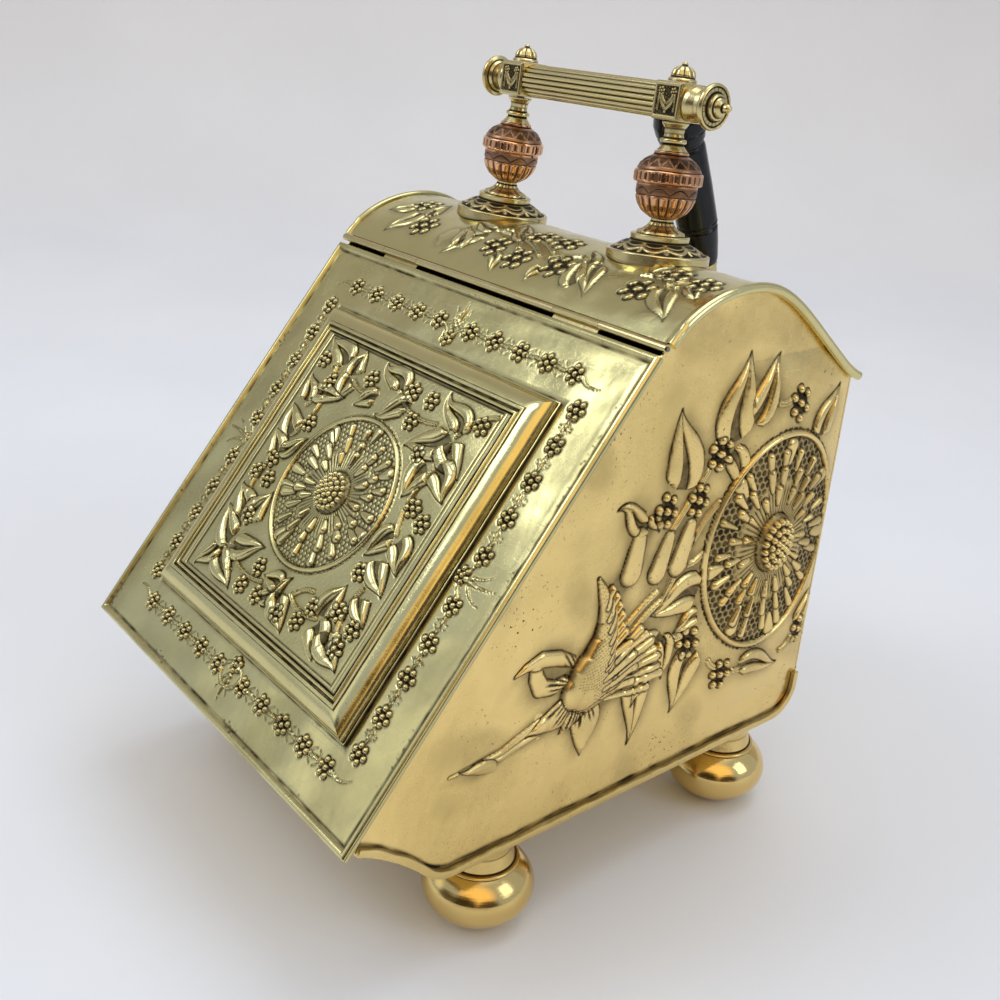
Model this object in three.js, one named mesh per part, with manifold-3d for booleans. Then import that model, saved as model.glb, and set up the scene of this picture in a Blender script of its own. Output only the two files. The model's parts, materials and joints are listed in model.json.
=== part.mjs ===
// Brass coal scuttle: a slope-fronted box on four bun feet, with a hinged lid, a bowed cover that
// carries a bar handle on two pillars, a lift-out steel liner, and a shovel in a pocket at the back.
// Millimetres, +Z up, front towards -Y, +X at the viewer's right.
//
// The box is drawn from the middle of the lid's top edge. The finished group is then moved so that
// its origin is under the middle of the whole object, on the floor.
import * as THREE from 'three';
import { mergeVertices } from 'three/addons/utils/BufferGeometryUtils.js';
import Module from 'manifold-3d';

// ---------------------------------------------------------------- driving dimensions
const clearance = 0.3;            // between pieces that touch
const sheet = 1.2;                // brass sheet of the box

const bodyWidth = 299.4;          // over the two side panels
const backDepth = 177;            // from the lid's top edge to the outside of the back
const floorDrop = 276.6;          // from the lid's top edge down to the underside of the box
const rearCornerRadius = 22;
const trayBackRise = 8.6;         // straight part of the tray above its rear corner
const toeHeight = 41.8;           // the tray's front lip above the underside
const toeReach = 175.4;           // the tray's front lip ahead of the lid's top edge
const keelReach = 114;            // where the ogee front meets the flat underside
const seamLip = 4;                // the fold that holds the side panels
const seamProud = 2.6;            // how thick that fold stands off the side

const lidSlopeDeg = 51.4;
const lidLength = 296.3;
const lidOverhang = 2.8;          // past each side panel
const lidRimDepth = 4.6;
const lidRimWall = 1.2;
const lidBeadWidth = 4;
const lidFieldDrop = 1.8;         // the lid's field below the crest of its bead
const lidSeat = 0.6;              // between the lid's rim and the side panels

const mouldingHalfWidth = 110.7;
const mouldingTop = 42.4;         // from the lid's top edge
const mouldingLength = 212;
const mouldingOvolo = 11.2;       // width of its big convex member
const mouldingRise = 7.7;
const mouldingSheet = 1.2;
const mouldingLedge = 6.2;        // ledge that carries the centre panel
const centrePanelSheet = 1;
const lidMedallionRadius = 51.2;
const lidRingHeight = 1.6;
const lidBossHeight = 6;
const backingSheet = 0.8;

const hingeSetback = 5.15;        // hinge pin beyond the lid's top edge
const hingeDrop = 2.28;           // hinge pin below the lid's bead
const barrelRadius = 2.4;
const pinRadius = 1.2;
const leafThickness = 1;
const leafWidth = 18;
const knuckleInner = 66;          // the two lid knuckles, from the middle
const knuckleOuter = 103;
const pinProud = 1;

const rampDeg = 48;               // slope of the cover where it leaves the hinge
const crownReach = 66;
const crownRise = 28.8;
const tailSlopeDeg = 37.5;
const tailStart = backDepth - 17; // the cover's straight tail
const tailStartDrop = 24.1;
const tailEnd = backDepth + 2.5;
const tailEndDrop = 36;
const coverBeadRadius = 2.8;
const coverBeadDepth = 0.6;       // bead centre below the cover's outer surface

const sideMedallionReach = 117.5;
const sideMedallionDrop = 132.3;
const sideMedallionHalfDepth = 58.5;
const sideMedallionHalfHeight = 73.5;
const sideRingHeight = 2;
const sideBossHeight = 9.5;
const sideLeafHeight = 3.8;
const sideClusterRadius = 9;
const sideClusterHeight = 3.4;
const sideFlowerRadius = 23.2;
const sideFlowerHeight = 7;
const lidLeafHeight = 3;
const lidClusterRadius = 6;
const lidClusterHeight = 2.4;
const swellHeight = 6.4;          // the side panel's broad swell under the medallion
const swellHalfDepth = 59.2;
const swellHalfHeight = 118;
const swellSquareness = 0.6;      // 1 gives an oval, less gives a squarer form

const linerSheet = 0.9;
const linerSideGap = 3;
const linerMouthDrop = 16;        // liner's sloping mouth below the lid
const linerBackDrop = 60;

const footInset = 126;            // foot axes from the middle
const footFront = keelReach - 40.4;
const footRear = backDepth - 41.3;
const bunRadius = 33.4;
const bunHeight = 46.8;
const footHeight = 63.6;
const footRingRadius = 23.5;
const footNeckRadius = 18.6;
const footFlareRadius = 23;
const footBaseRadius = 14;
const footWall = 2.4;
const footSpigotRadius = 4;
const footNutAcross = 13;
const footNutHeight = 4.5;

const handleReach = 76.4;         // handle's foot behind the lid's top edge
const handleRise = 26.6;          // handle's foot above it
const handleTiltDeg = 4.83;       // leans back
const pillarSplayDeg = 2.6;       // pillars lean in
const pillarSpacing = 144;        // between the pillars at their feet
const flangeRadius = 30.2;
const flangeRimHeight = 4.4;
const flangeTop = 14.2;
const stemHeight = 8.4;
const bowlRadius = 17.6;
const bowlHeight = 19;
const bandRadius = 19.8;
const bandHeight = 7;
const domeHeight = 10.4;
const neckHeight = 15.6;
const neckRadius = 5.4;
const blockSide = 20.6;
const gripRadius = 10;
const reedCount = 18;
const reedDepth = 1;
const capRadius = 12.6;
const capLength = 28;
const finialRadius = 8.3;
const finialHeight = 10.9;
const tieRadius = 2.5;
const tieNutAcross = 9;
const tieNutHeight = 3.5;
const washerRadius = 7;
const washerThickness = 1;
const socketDepth = 3;
const gripSpigotRadius = 5;
const finialSpigotRadius = 3;

const shovelLeanDeg = 24;
const shovelAxisReach = backDepth + 39.6; // where the shovel's axis crosses its pan's top
const panDrop = 32;
const panLength = 156;
const panWidth = 108;
const panFlare = 10;              // how much wider the pan is at its lip
const panDepth = 33;
const panLipDepth = 20;
const panStraight = 40;           // full-depth part of the pan
const panSheet = 1.2;
const shovelGripLength = 118;
const shovelButtRadius = 17;
const shovelGripRadius = 14;
const shovelTaperRadius = 9.5;
const shovelSocketRadius = 8.4;
const shovelSocketLength = 27;
const tangWidth = 18;
const tangLength = 44;
const tangThickness = 2;
const tangRivetDrops = [16, 36];  // rivets below the pan's top

const pocketSheet = 1.5;
const pocketHeight = 62;
const pocketFlange = 14;
const rivetRadius = 1.5;
const rivetHeadRadius = 3.4;
const rivetHeadHeight = 1.6;

// ---------------------------------------------------------------- finishes
const brass = (color, roughness) => new THREE.MeshStandardMaterial({ color, roughness, metalness: 1 });
const lidBrass = brass(0xb8ae72, 0.3);
const boxBrass = brass(0xa8924c, 0.34);
const castBrass = brass(0x8f7d45, 0.38);
const polishedBrass = brass(0xc09c3c, 0.2);
const copper = brass(0x8e5a3c, 0.36);
const steel = brass(0x55524c, 0.5);
const liner = new THREE.MeshStandardMaterial({ color: 0x1c1b1a, roughness: 0.7, metalness: 0.4 });
const ebonised = new THREE.MeshStandardMaterial({ color: 0x0c0c0d, roughness: 0.28, metalness: 0 });

// ---------------------------------------------------------------- solids
const wasm = await Module();
wasm.setup();

const rad = THREE.MathUtils.degToRad;
const v2 = (x, y) => new THREE.Vector2(x, y);
const polar = (radius, angle) => v2(radius * Math.cos(angle), radius * Math.sin(angle));
const ROUND = 20;                 // sides of a turned piece
const SMALL_ROUND = 10;           // sides of a bore, pin or rivet
const FLOWER_ROUND = 28;          // sides of a medallion or flange

function toSolid(geometry) {
  geometry.deleteAttribute('normal');
  geometry.deleteAttribute('uv');
  const merged = mergeVertices(geometry, 1e-4);
  const vertProperties = new Float32Array(merged.attributes.position.array);
  const index = merged.index.array;
  const triangles = [];
  let volume = 0;
  const a = new THREE.Vector3();
  const b = new THREE.Vector3();
  const c = new THREE.Vector3();
  for (let i = 0; i < index.length; i += 3) {
    const [p, q, r] = [index[i], index[i + 1], index[i + 2]];
    if (p === q || q === r || r === p) continue;
    triangles.push(p, q, r);
    a.fromArray(vertProperties, 3 * p);
    b.fromArray(vertProperties, 3 * q);
    c.fromArray(vertProperties, 3 * r);
    volume += a.dot(b.cross(c));
  }
  if (volume < 0) triangles.reverse();
  const mesh = new wasm.Mesh({ numProp: 3, vertProperties, triVerts: new Uint32Array(triangles) });
  return new wasm.Manifold(mesh);
}

function toGeometry(solid) {
  const mesh = solid.getMesh();
  const geometry = new THREE.BufferGeometry();
  geometry.setAttribute('position', new THREE.BufferAttribute(new Float32Array(mesh.vertProperties), 3));
  geometry.setIndex(new THREE.BufferAttribute(new Uint32Array(mesh.triVerts), 1));
  geometry.computeVertexNormals();
  return geometry;
}

const union = (first, ...others) => others.reduce((sum, item) => sum.add(item), first);
const cut = (first, ...others) => others.reduce((rest, item) => rest.subtract(item), first);

// A block between two corners.
function block(x0, x1, y0, y1, z0, z1) {
  const geometry = new THREE.BoxGeometry(x1 - x0, y1 - y0, z1 - z0);
  geometry.translate((x0 + x1) / 2, (y0 + y1) / 2, (z0 + z1) / 2);
  return toSolid(geometry);
}

const extruded = (outline, depth) => (
  new THREE.ExtrudeGeometry(new THREE.Shape(outline), { depth, bevelEnabled: false })
);

// An outline of (y, z) points, extruded across the box from x0 to x1.
function prism(outline, x0, x1) {
  const geometry = extruded(outline, x1 - x0);
  const across = new THREE.Matrix4().makeBasis(
    new THREE.Vector3(0, 1, 0),
    new THREE.Vector3(0, 0, 1),
    new THREE.Vector3(1, 0, 0),
  );
  geometry.applyMatrix4(across);
  geometry.translate(x0, 0, 0);
  return toSolid(geometry);
}

// An (x, y) outline extruded upwards from z0 to z1.
function slab(outline, z0, z1) {
  const geometry = extruded(outline, z1 - z0);
  geometry.translate(0, 0, z0);
  return toSolid(geometry);
}

// A turned piece: (radius, height) points, about the Z axis.
function turned(profile, sides = ROUND) {
  const points = profile.map(([r, h]) => v2(r, h));
  if (profile[0][0] > 0) points.push(points[0].clone());
  const geometry = new THREE.LatheGeometry(points, sides);
  geometry.rotateX(Math.PI / 2);
  return toSolid(geometry);
}

const rod = (radius, z0, z1, sides = SMALL_ROUND) => (
  turned([[0, z0], [radius, z0], [radius, z1], [0, z1]], sides)
);
const alongX = (solid) => solid.rotate([0, 90, 0]);
const rodX = (radius, x0, x1, sides = SMALL_ROUND) => alongX(rod(radius, x0, x1, sides));
const alongBack = (solid) => solid.rotate([-90, 0, 0]);

function hexNut(across, height, boreRadius) {
  const corner = across / Math.sqrt(3);
  const outline = Array.from({ length: 6 }, (_, i) => polar(corner, i * Math.PI / 3));
  return cut(slab(outline, 0, height), rod(boreRadius, -1, height + 1));
}

// ---------------------------------------------------------------- outlines
// A line moved sideways by a distance, to the left of its direction.
function offsetLine(points, distance) {
  return points.map((point, i) => {
    const before = points[Math.max(i - 1, 0)];
    const after = points[Math.min(i + 1, points.length - 1)];
    const first = point.clone().sub(before);
    const second = after.clone().sub(point);
    if (first.lengthSq() === 0) first.copy(second);
    if (second.lengthSq() === 0) second.copy(first);
    const n1 = v2(-first.y, first.x).normalize();
    const n2 = v2(-second.y, second.x).normalize();
    const mean = n1.clone().add(n2).normalize();
    return point.clone().addScaledVector(mean, distance / mean.dot(n1));
  });
}

// The band between a line and the same line moved sideways.
const band = (points, near, far) => [...offsetLine(points, near), ...offsetLine(points, far).reverse()];

const lidSlope = rad(lidSlopeDeg);
const upSlope = v2(Math.cos(lidSlope), Math.sin(lidSlope));
const outOfLid = v2(-Math.sin(lidSlope), Math.cos(lidSlope));
// A point given from the lid's top edge: how far down the slope, and how far out of the lid.
const fromLid = (down, out) => upSlope.clone().multiplyScalar(-down).addScaledVector(outOfLid, out);

const hinge = fromLid(-hingeSetback, -hingeDrop);
const ramp = v2(Math.cos(rad(rampDeg)), Math.sin(rad(rampDeg)));
const rampOut = v2(-ramp.y, ramp.x);
const onRamp = (along, out) => hinge.clone().addScaledVector(ramp, along).addScaledVector(rampOut, out);

// The cover's outer surface, from the hinge over the crown to the flared rear edge.
const coverSurface = 0.3;         // above the hinge pin's centre, square to the ramp
const coverStart = onRamp(barrelRadius + clearance + 0.15, coverSurface);
const crown = v2(crownReach, crownRise);
const tail = v2(tailStart, -tailStartDrop);
const tailDirection = v2(Math.cos(rad(tailSlopeDeg)), -Math.sin(rad(tailSlopeDeg)));
const coverFront = new THREE.CubicBezierCurve(
  coverStart,
  coverStart.clone().addScaledVector(ramp, 18),
  crown.clone().add(v2(-26, 0)),
  crown,
);
const coverBack = new THREE.CubicBezierCurve(
  crown,
  crown.clone().add(v2(32, 0)),
  tail.clone().addScaledVector(tailDirection, -60),
  tail,
);
const coverFlare = new THREE.QuadraticBezierCurve(
  tail,
  tail.clone().addScaledVector(tailDirection, 13.9),
  v2(tailEnd, -tailEndDrop),
);
const coverLine = [
  ...coverFront.getPoints(8),
  ...coverBack.getPoints(9).slice(1),
  ...coverFlare.getPoints(3).slice(1),
];

// The wrapper's outer surface: ogee front, underside, rear corner, back.
const underside = -floorDrop;
const toe = v2(-toeReach, underside + toeHeight);
const ogeeEnd = v2(-keelReach - 19, underside + 9.6);
const ogee = new THREE.CubicBezierCurve(
  toe,
  toe.clone().add(v2(10, -3.5)),
  ogeeEnd.clone().add(v2(-13, 14.5)),
  ogeeEnd,
);
const keel = new THREE.QuadraticBezierCurve(
  ogeeEnd,
  v2(-keelReach - 10.5, underside + 0.6),
  v2(-keelReach, underside),
);
const rearCorner = new THREE.Path().absarc(
  backDepth - rearCornerRadius,
  underside + rearCornerRadius,
  rearCornerRadius,
  -Math.PI / 2,
  0,
);
const trayTop = v2(backDepth, underside + rearCornerRadius + trayBackRise);
const trayLine = [...ogee.getPoints(6), ...keel.getPoints(4).slice(1), ...rearCorner.getPoints(6), trayTop];

// Heights under the cover at a distance behind the lid's top edge.
function lineHeight(line, y) {
  const i = line.findIndex((point, k) => k > 0 && point.x >= y);
  const [p, q] = [line[i - 1], line[i]];
  return p.y + (q.y - p.y) * (y - p.x) / (q.x - p.x);
}
const underCover = offsetLine(coverLine, -(sheet + clearance));
const backTop = v2(backDepth, lineHeight(underCover, backDepth));

const halfBody = bodyWidth / 2;
const lipInner = halfBody + clearance;
const lipOuter = lipInner + seamProud;
const coverHalf = lipInner + coverBeadRadius;

// ---------------------------------------------------------------- the box
// The tray: front, underside and rear corner in one sheet, with its edges folded over the sides.
const trayShell = union(
  prism(band(trayLine, 0, sheet), -lipOuter, lipOuter),
  prism(band(trayLine, 0, sheet + seamLip), lipInner, lipOuter),
  prism(band(trayLine, 0, sheet + seamLip), -lipOuter, -lipInner),
);
const footHoles = [-1, 1].flatMap((side) => [-footFront, footRear].map((y) => (
  rod(footSpigotRadius + clearance, underside - 1, underside + sheet + 1).translate([side * footInset, y, 0])
)));
const bottomTray = cut(trayShell, ...footHoles);

// The back: a flat sheet that closes the side panels' rear edges.
const backSheet = block(-halfBody, halfBody, backDepth - sheet, backDepth, trayTop.y + clearance, backTop.y);

// A side panel: one sheet that fills the outline, with the sunflower medallion raised on it.
const insideWrapper = offsetLine([...trayLine, backTop], sheet + clearance);
const mouthTop = fromLid(-hingeSetback + 0.2, -lidRimDepth - lidSeat);
const mouthFoot = fromLid(lidLength - 4.6, -lidRimDepth - lidSeat);
const barrelRoom = barrelRadius + clearance + 2.6;
const sideRear = backDepth - sheet - clearance;
const overSide = (point) => point.x > hinge.x + barrelRoom && point.x < sideRear - 1;
const sideOutline = [
  mouthTop,
  mouthFoot,
  ...insideWrapper.slice(0, -1),
  v2(sideRear, lineHeight(underCover, sideRear)),
  ...underCover.filter(overSide).reverse(),
];
// A sunflower medallion: a ring, a disc of petals and a domed boss, as (share of radius, height).
const medallionProfile = (ringHeight, bossHeight) => [
  [1, ringHeight * 0.8], [0.97, ringHeight], [0.93, ringHeight * 0.6],
  [0.62, ringHeight * 1.2], [0.3, ringHeight * 0.9],
  [0.24, bossHeight * 0.7], [0.13, bossHeight * 0.95], [0, bossHeight],
];
// A raised form over the (y, z) plane: rings of points from the rim to the middle, on a base at x = foot.
function relief(rings, sides, foot, place) {
  const positions = [];
  for (let i = 0; i < sides; i += 1) {
    const [, y, z] = place(rings[0], i * 2 * Math.PI / sides);
    positions.push(foot, y, z);
  }
  rings.slice(0, -1).forEach((ring) => {
    for (let i = 0; i < sides; i += 1) positions.push(...place(ring, i * 2 * Math.PI / sides));
  });
  const apex = positions.length / 3;
  positions.push(...place(rings.at(-1), 0));
  const [, middleY, middleZ] = place([0, 0], 0);
  positions.push(foot, middleY, middleZ);
  const indices = [];
  for (let i = 0; i < sides; i += 1) {
    const next = (i + 1) % sides;
    for (let k = 0; k + 1 < rings.length; k += 1) {
      const [a, b] = [k * sides + i, k * sides + next];
      indices.push(a, b, b + sides, a, b + sides, a + sides);
    }
    const last = (rings.length - 1) * sides;
    indices.push(last + i, last + next, apex, next, i, apex + 1);
  }
  const geometry = new THREE.BufferGeometry();
  geometry.setAttribute('position', new THREE.Float32BufferAttribute(positions, 3));
  geometry.setIndex(indices);
  return toSolid(geometry);
}
// Raised leaves and berry clusters over a surface, which gives the place of a point (u, v) at a height.
const LEAF_SIDES = 6;
const CLUSTER_SIDES = 6;
function leafForm([tipU, tipV, baseU, baseV, halfWidth, bend], height, foot, surface) {
  const along = v2(baseU - tipU, baseV - tipV);
  const across = v2(-along.y, along.x).normalize();
  const bow = bend * along.length();
  const place = ([share, level], angle) => {
    const t = 0.5 + share * Math.cos(angle) / 2;
    const off = share * halfWidth * Math.sin(angle) + bow * 4 * t * (1 - t);
    return surface(tipU + along.x * t + across.x * off, tipV + along.y * t + across.y * off, level);
  };
  return relief([[1, 0.3 * height], [0, height]], LEAF_SIDES, foot, place);
}
function domeForm([u, v], radius, height, foot, surface, sides = CLUSTER_SIDES) {
  const place = ([share, level], angle) => (
    surface(u + share * radius * Math.cos(angle), v + share * radius * Math.sin(angle), level)
  );
  return relief([[1, 0.4 * height], [0.6, 0.95 * height], [0, height]], sides, foot, place);
}
// How far the side panel swells outwards at a point (y, z).
function swell(y, z) {
  const across = Math.min(1, Math.abs(y - sideMedallionReach) / swellHalfDepth);
  const along = Math.min(1, Math.abs(z + sideMedallionDrop) / swellHalfHeight);
  return swellHeight * (1 - across ** 2) * (1 - along ** 4);
}
// Chased forms of a side: tip, base, half width and bend of a leaf, and the middles of the clusters,
// as (distance behind the lid's top edge, distance below it).
const sideLeaves = [
  [77, 9, 72, 60, 12, -0.12], [103, 13, 84, 49, 9.5, 0.12], [164, 40, 149, 70, 9, -0.12],
  [26, 34, 34, 82, 12, 0.13], [84, 94, 70, 66, 7.5, -0.14], [-14, 84, 10, 97, 6.5, 0],
  [0, 134, 4, 100, 7.8, 0.06], [20, 140, 30, 108, 7.5, -0.1], [36, 140, 46, 105, 7.8, -0.12],
  [22, 158, 60, 152, 11, 0.14], [15, 243, 34, 174, 11, 0.1], [12, 214, 22, 196, 5, 0.1],
  [50, 233, 62, 192, 10, 0.14], [147, 228, 106, 218, 8, -0.16], [172, 184, 159, 203, 6.5, 0.1],
  [44, 176, 60, 168, 6, 0.1],
  // the flower's stem, sepals and streaming petals
  [-118, 212, -40, 204, 5, 0], [-76, 163, -44, 184, 10, -0.3], [-24, 235, -30, 203, 12, 0],
  [-24, 121, -22, 158, 6.5, -0.2], [-10, 129, -16, 160, 5.5, -0.16], [3, 158, -4, 178, 5, -0.2],
  [27, 184, 4, 194, 5, -0.1], [37, 208, 6, 199, 5, 0.1],
];
const sideClusters = [
  [124, 45], [60, 64], [25, 90], [53, 96], [56, 186], [89, 217], [166, 209],
];
const sideFlower = [-20, 180];
const FLOWER_BULB_SIDES = 10;
function sidePanel(side) {
  const panel = prism(sideOutline, halfBody - sheet, halfBody);
  const onPanel = (halfDepth, halfHeight, squareness) => ([share, height], angle) => {
    const [c, s] = [Math.cos(angle), Math.sin(angle)];
    const y = sideMedallionReach + share * halfDepth * Math.sign(c) * Math.abs(c) ** squareness;
    const z = -sideMedallionDrop + share * halfHeight * Math.sign(s) * Math.abs(s) ** squareness;
    return [halfBody + height + swell(y, z), y, z];
  };
  const swellRings = [[1, -clearance], [0.9, 0], [0.75, 0], [0.55, 0], [0.3, 0], [0, 0]];
  const swellPlace = onPanel(swellHalfDepth, swellHalfHeight, swellSquareness);
  const swollen = (foot) => relief(swellRings, FLOWER_ROUND, foot, swellPlace);
  const flower = relief(
    medallionProfile(sideRingHeight, sideBossHeight),
    FLOWER_ROUND,
    halfBody - sheet / 2,
    onPanel(sideMedallionHalfDepth, sideMedallionHalfHeight, 1),
  );
  const hollow = swollen(halfBody - 2 * sheet).translate([-sheet, 0, 0]);
  const foot = halfBody - sheet / 2;
  const surface = (reach, drop, level) => [halfBody + level + swell(reach, -drop), reach, -drop];
  const raised = union(
    swollen(foot),
    flower,
    ...sideLeaves.map((leaf) => leafForm(leaf, sideLeafHeight, foot, surface)),
    ...sideClusters.map((spot) => domeForm(spot, sideClusterRadius, sideClusterHeight, foot, surface)),
    domeForm(sideFlower, sideFlowerRadius, sideFlowerHeight, foot, surface, FLOWER_BULB_SIDES),
  );
  const room = prism(sideOutline, halfBody - sheet, halfBody + swellHeight + 2 * sideBossHeight);
  const trimmed = raised.intersect(room);
  const barrelNotch = rodX(barrelRadius + clearance, halfBody - 2 * sheet, halfBody + sheet, ROUND);
  const notch = barrelNotch.translate([0, hinge.x, hinge.y]);
  const whole = cut(union(panel, trimmed), hollow, notch);
  return side > 0 ? whole : whole.mirror([1, 0, 0]);
}

// A section of (x, out) points, given anticlockwise, carried along a line in the (y, z) plane.
function carried(section, line) {
  const runs = section.map(([, out]) => offsetLine(line, out));
  const positions = line.flatMap((_, i) => section.flatMap(([x], k) => [x, runs[k][i].x, runs[k][i].y]));
  const count = section.length;
  const indices = [];
  for (let i = 0; i + 1 < line.length; i += 1) {
    for (let k = 0; k < count; k += 1) {
      const [a, b] = [count * i + k, count * i + (k + 1) % count];
      indices.push(a, b, b + count, a, b + count, a + count);
    }
  }
  const last = count * (line.length - 1);
  THREE.ShapeUtils.triangulateShape(section.map(([x, out]) => v2(x, out)), []).forEach(([a, b, c]) => {
    indices.push(c, b, a, last + a, last + b, last + c);
  });
  const geometry = new THREE.BufferGeometry();
  geometry.setAttribute('position', new THREE.Float32BufferAttribute(positions, 3));
  geometry.setIndex(indices);
  return toSolid(geometry);
}

// The cover: a bowed sheet with a rolled bead along each edge.
const beadSteps = 8;
const beadFrom = Math.PI - Math.asin(coverBeadDepth / coverBeadRadius);
const beadTo = Math.asin((sheet - coverBeadDepth) / coverBeadRadius) - Math.PI;
const beadEdge = Array.from({ length: beadSteps + 1 }, (_, i) => {
  const angle = beadFrom + (beadTo - beadFrom) * i / beadSteps;
  return [coverHalf + coverBeadRadius * Math.cos(angle), coverBeadRadius * Math.sin(angle) - coverBeadDepth];
});
const coverSection = [...beadEdge.map(([x, out]) => [-x, out]), ...beadEdge.reverse()];
const coverSheet = carried(coverSection, coverLine);

// The liner: a steel tub that stands on the foot nuts and lifts out through the mouth.
const linerOffset = sheet + clearance + footNutHeight + clearance;
const linerTop = v2(backDepth, -linerBackDrop);
const linerRun = [...trayLine, linerTop];
const linerHalf = halfBody - sheet - linerSideGap;
const linerOuter = offsetLine(linerRun, linerOffset);
const linerInner = offsetLine(linerRun, linerOffset + linerSheet);
const mouthAtBackTop = (linerBackDrop + linerMouthDrop * outOfLid.y * -1) / upSlope.y;
const linerMouthTop = fromLid(mouthAtBackTop, -linerMouthDrop);
const linerLip = fromLid(lidLength - 14, -linerMouthDrop);
const linerTub = cut(
  prism([linerLip, ...linerOuter.slice(2), linerMouthTop], -linerHalf, linerHalf),
  prism(
    [
      linerLip.clone().add(v2(linerSheet, linerSheet)),
      ...linerInner.slice(2),
      v2(linerInner.at(-1).x, 0),
      fromLid(mouthAtBackTop - 20, 0),
      fromLid(lidLength - 20, -linerMouthDrop + 12),
    ],
    -(linerHalf - linerSheet),
    linerHalf - linerSheet,
  ),
);

// ---------------------------------------------------------------- hinge
const barrelEnd = halfBody + lidOverhang;
const knuckleGap = clearance / 2;
const coverKnuckles = [
  [-barrelEnd, -knuckleOuter - knuckleGap],
  [-knuckleInner + knuckleGap, knuckleInner - knuckleGap],
  [knuckleOuter + knuckleGap, barrelEnd],
];
const lidKnuckles = [
  [-knuckleOuter + knuckleGap, -knuckleInner - knuckleGap],
  [knuckleInner + knuckleGap, knuckleOuter - knuckleGap],
];
const pinBore = pinRadius + clearance;
const leafHalf = halfBody - sheet - clearance;

function leafWithKnuckles(stripOutline, tabOutline, spans, centre) {
  const at = [0, centre.x, centre.y];
  const strip = prism(stripOutline, -leafHalf, leafHalf);
  const tabs = spans.map(([x0, x1]) => prism(tabOutline, Math.max(x0, -leafHalf), Math.min(x1, leafHalf)));
  const barrels = spans.map(([x0, x1]) => rodX(barrelRadius, x0, x1, 16).translate(at));
  return cut(union(strip, ...tabs, ...barrels), rodX(pinBore, -barrelEnd - 1, barrelEnd + 1).translate(at));
}
const coverLeafTop = coverSurface - sheet - clearance;
const leafLine = new THREE.CubicBezierCurve(coverFront.v0, coverFront.v1, coverFront.v2, coverFront.v3)
  .getPoints(16).slice(0, 5);
const coverLeaf = leafWithKnuckles(
  band(leafLine, -sheet - clearance - 0.1, -sheet - clearance - 0.1 - leafThickness),
  [
    onRamp(0, coverLeafTop - 0.1), onRamp(0, coverLeafTop - leafThickness),
    onRamp(4, coverLeafTop - leafThickness), onRamp(4, coverLeafTop - 0.1),
  ],
  coverKnuckles,
  hinge,
);

// ---------------------------------------------------------------- the lid, flat: +Y up the slope, +Z out
const lidHalf = halfBody + lidOverhang;
const lidField = -lidFieldDrop;
const lidUnder = lidField - sheet;

// A frame with mitred corners: a section of (inset, height) points carried round a rectangle.
function mitredFrame(halfWidth, yTop, yFoot, section) {
  const positions = [];
  const indices = [];
  section.forEach(([inset, height]) => {
    const x = halfWidth - inset;
    const [top, foot] = [yTop - inset, yFoot + inset];
    positions.push(x, top, height, -x, top, height, -x, foot, height, x, foot, height);
  });
  const count = section.length;
  for (let i = 0; i < count; i += 1) {
    const j = (i + 1) % count;
    for (let corner = 0; corner < 4; corner += 1) {
      const next = (corner + 1) % 4;
      const [a, b, c, d] = [4 * i + corner, 4 * i + next, 4 * j + next, 4 * j + corner];
      indices.push(a, b, c, a, c, d);
    }
  }
  const geometry = new THREE.BufferGeometry();
  geometry.setAttribute('position', new THREE.Float32BufferAttribute(positions, 3));
  geometry.setIndex(indices);
  return toSolid(geometry);
}

const lidBead = mitredFrame(lidHalf, 0, -lidLength, [
  [0, lidField - 0.5], [0, -0.9], [0.6, -0.25], [1.5, 0], [lidBeadWidth - 1.5, 0],
  [lidBeadWidth - 0.6, -0.4], [lidBeadWidth, -1.2], [lidBeadWidth, lidField - 0.5],
]);
const lidTray = cut(
  block(-lidHalf, lidHalf, -lidLength, 0, -lidRimDepth, lidField),
  block(-lidHalf + lidRimWall, lidHalf - lidRimWall, -lidLength + lidRimWall, 1, -lidRimDepth - 1, lidUnder),
);
const lidSkin = union(lidTray, lidBead);

const leafTop = lidUnder - clearance;
const leafFoot = leafTop - leafThickness;
const lidBand = (from, to) => [v2(from, leafTop), v2(from, leafFoot), v2(to, leafFoot), v2(to, leafTop)];
const lidLeaf = leafWithKnuckles(
  lidBand(-leafWidth, -0.5),
  lidBand(-2, hingeSetback),
  lidKnuckles,
  v2(hingeSetback, -hingeDrop),
);
const backingInset = lidRimWall + clearance;
const lidBacking = block(
  -lidHalf + backingInset,
  lidHalf - backingInset,
  -lidLength + backingInset,
  -leafWidth - clearance,
  leafTop - backingSheet,
  leafTop,
);

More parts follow.
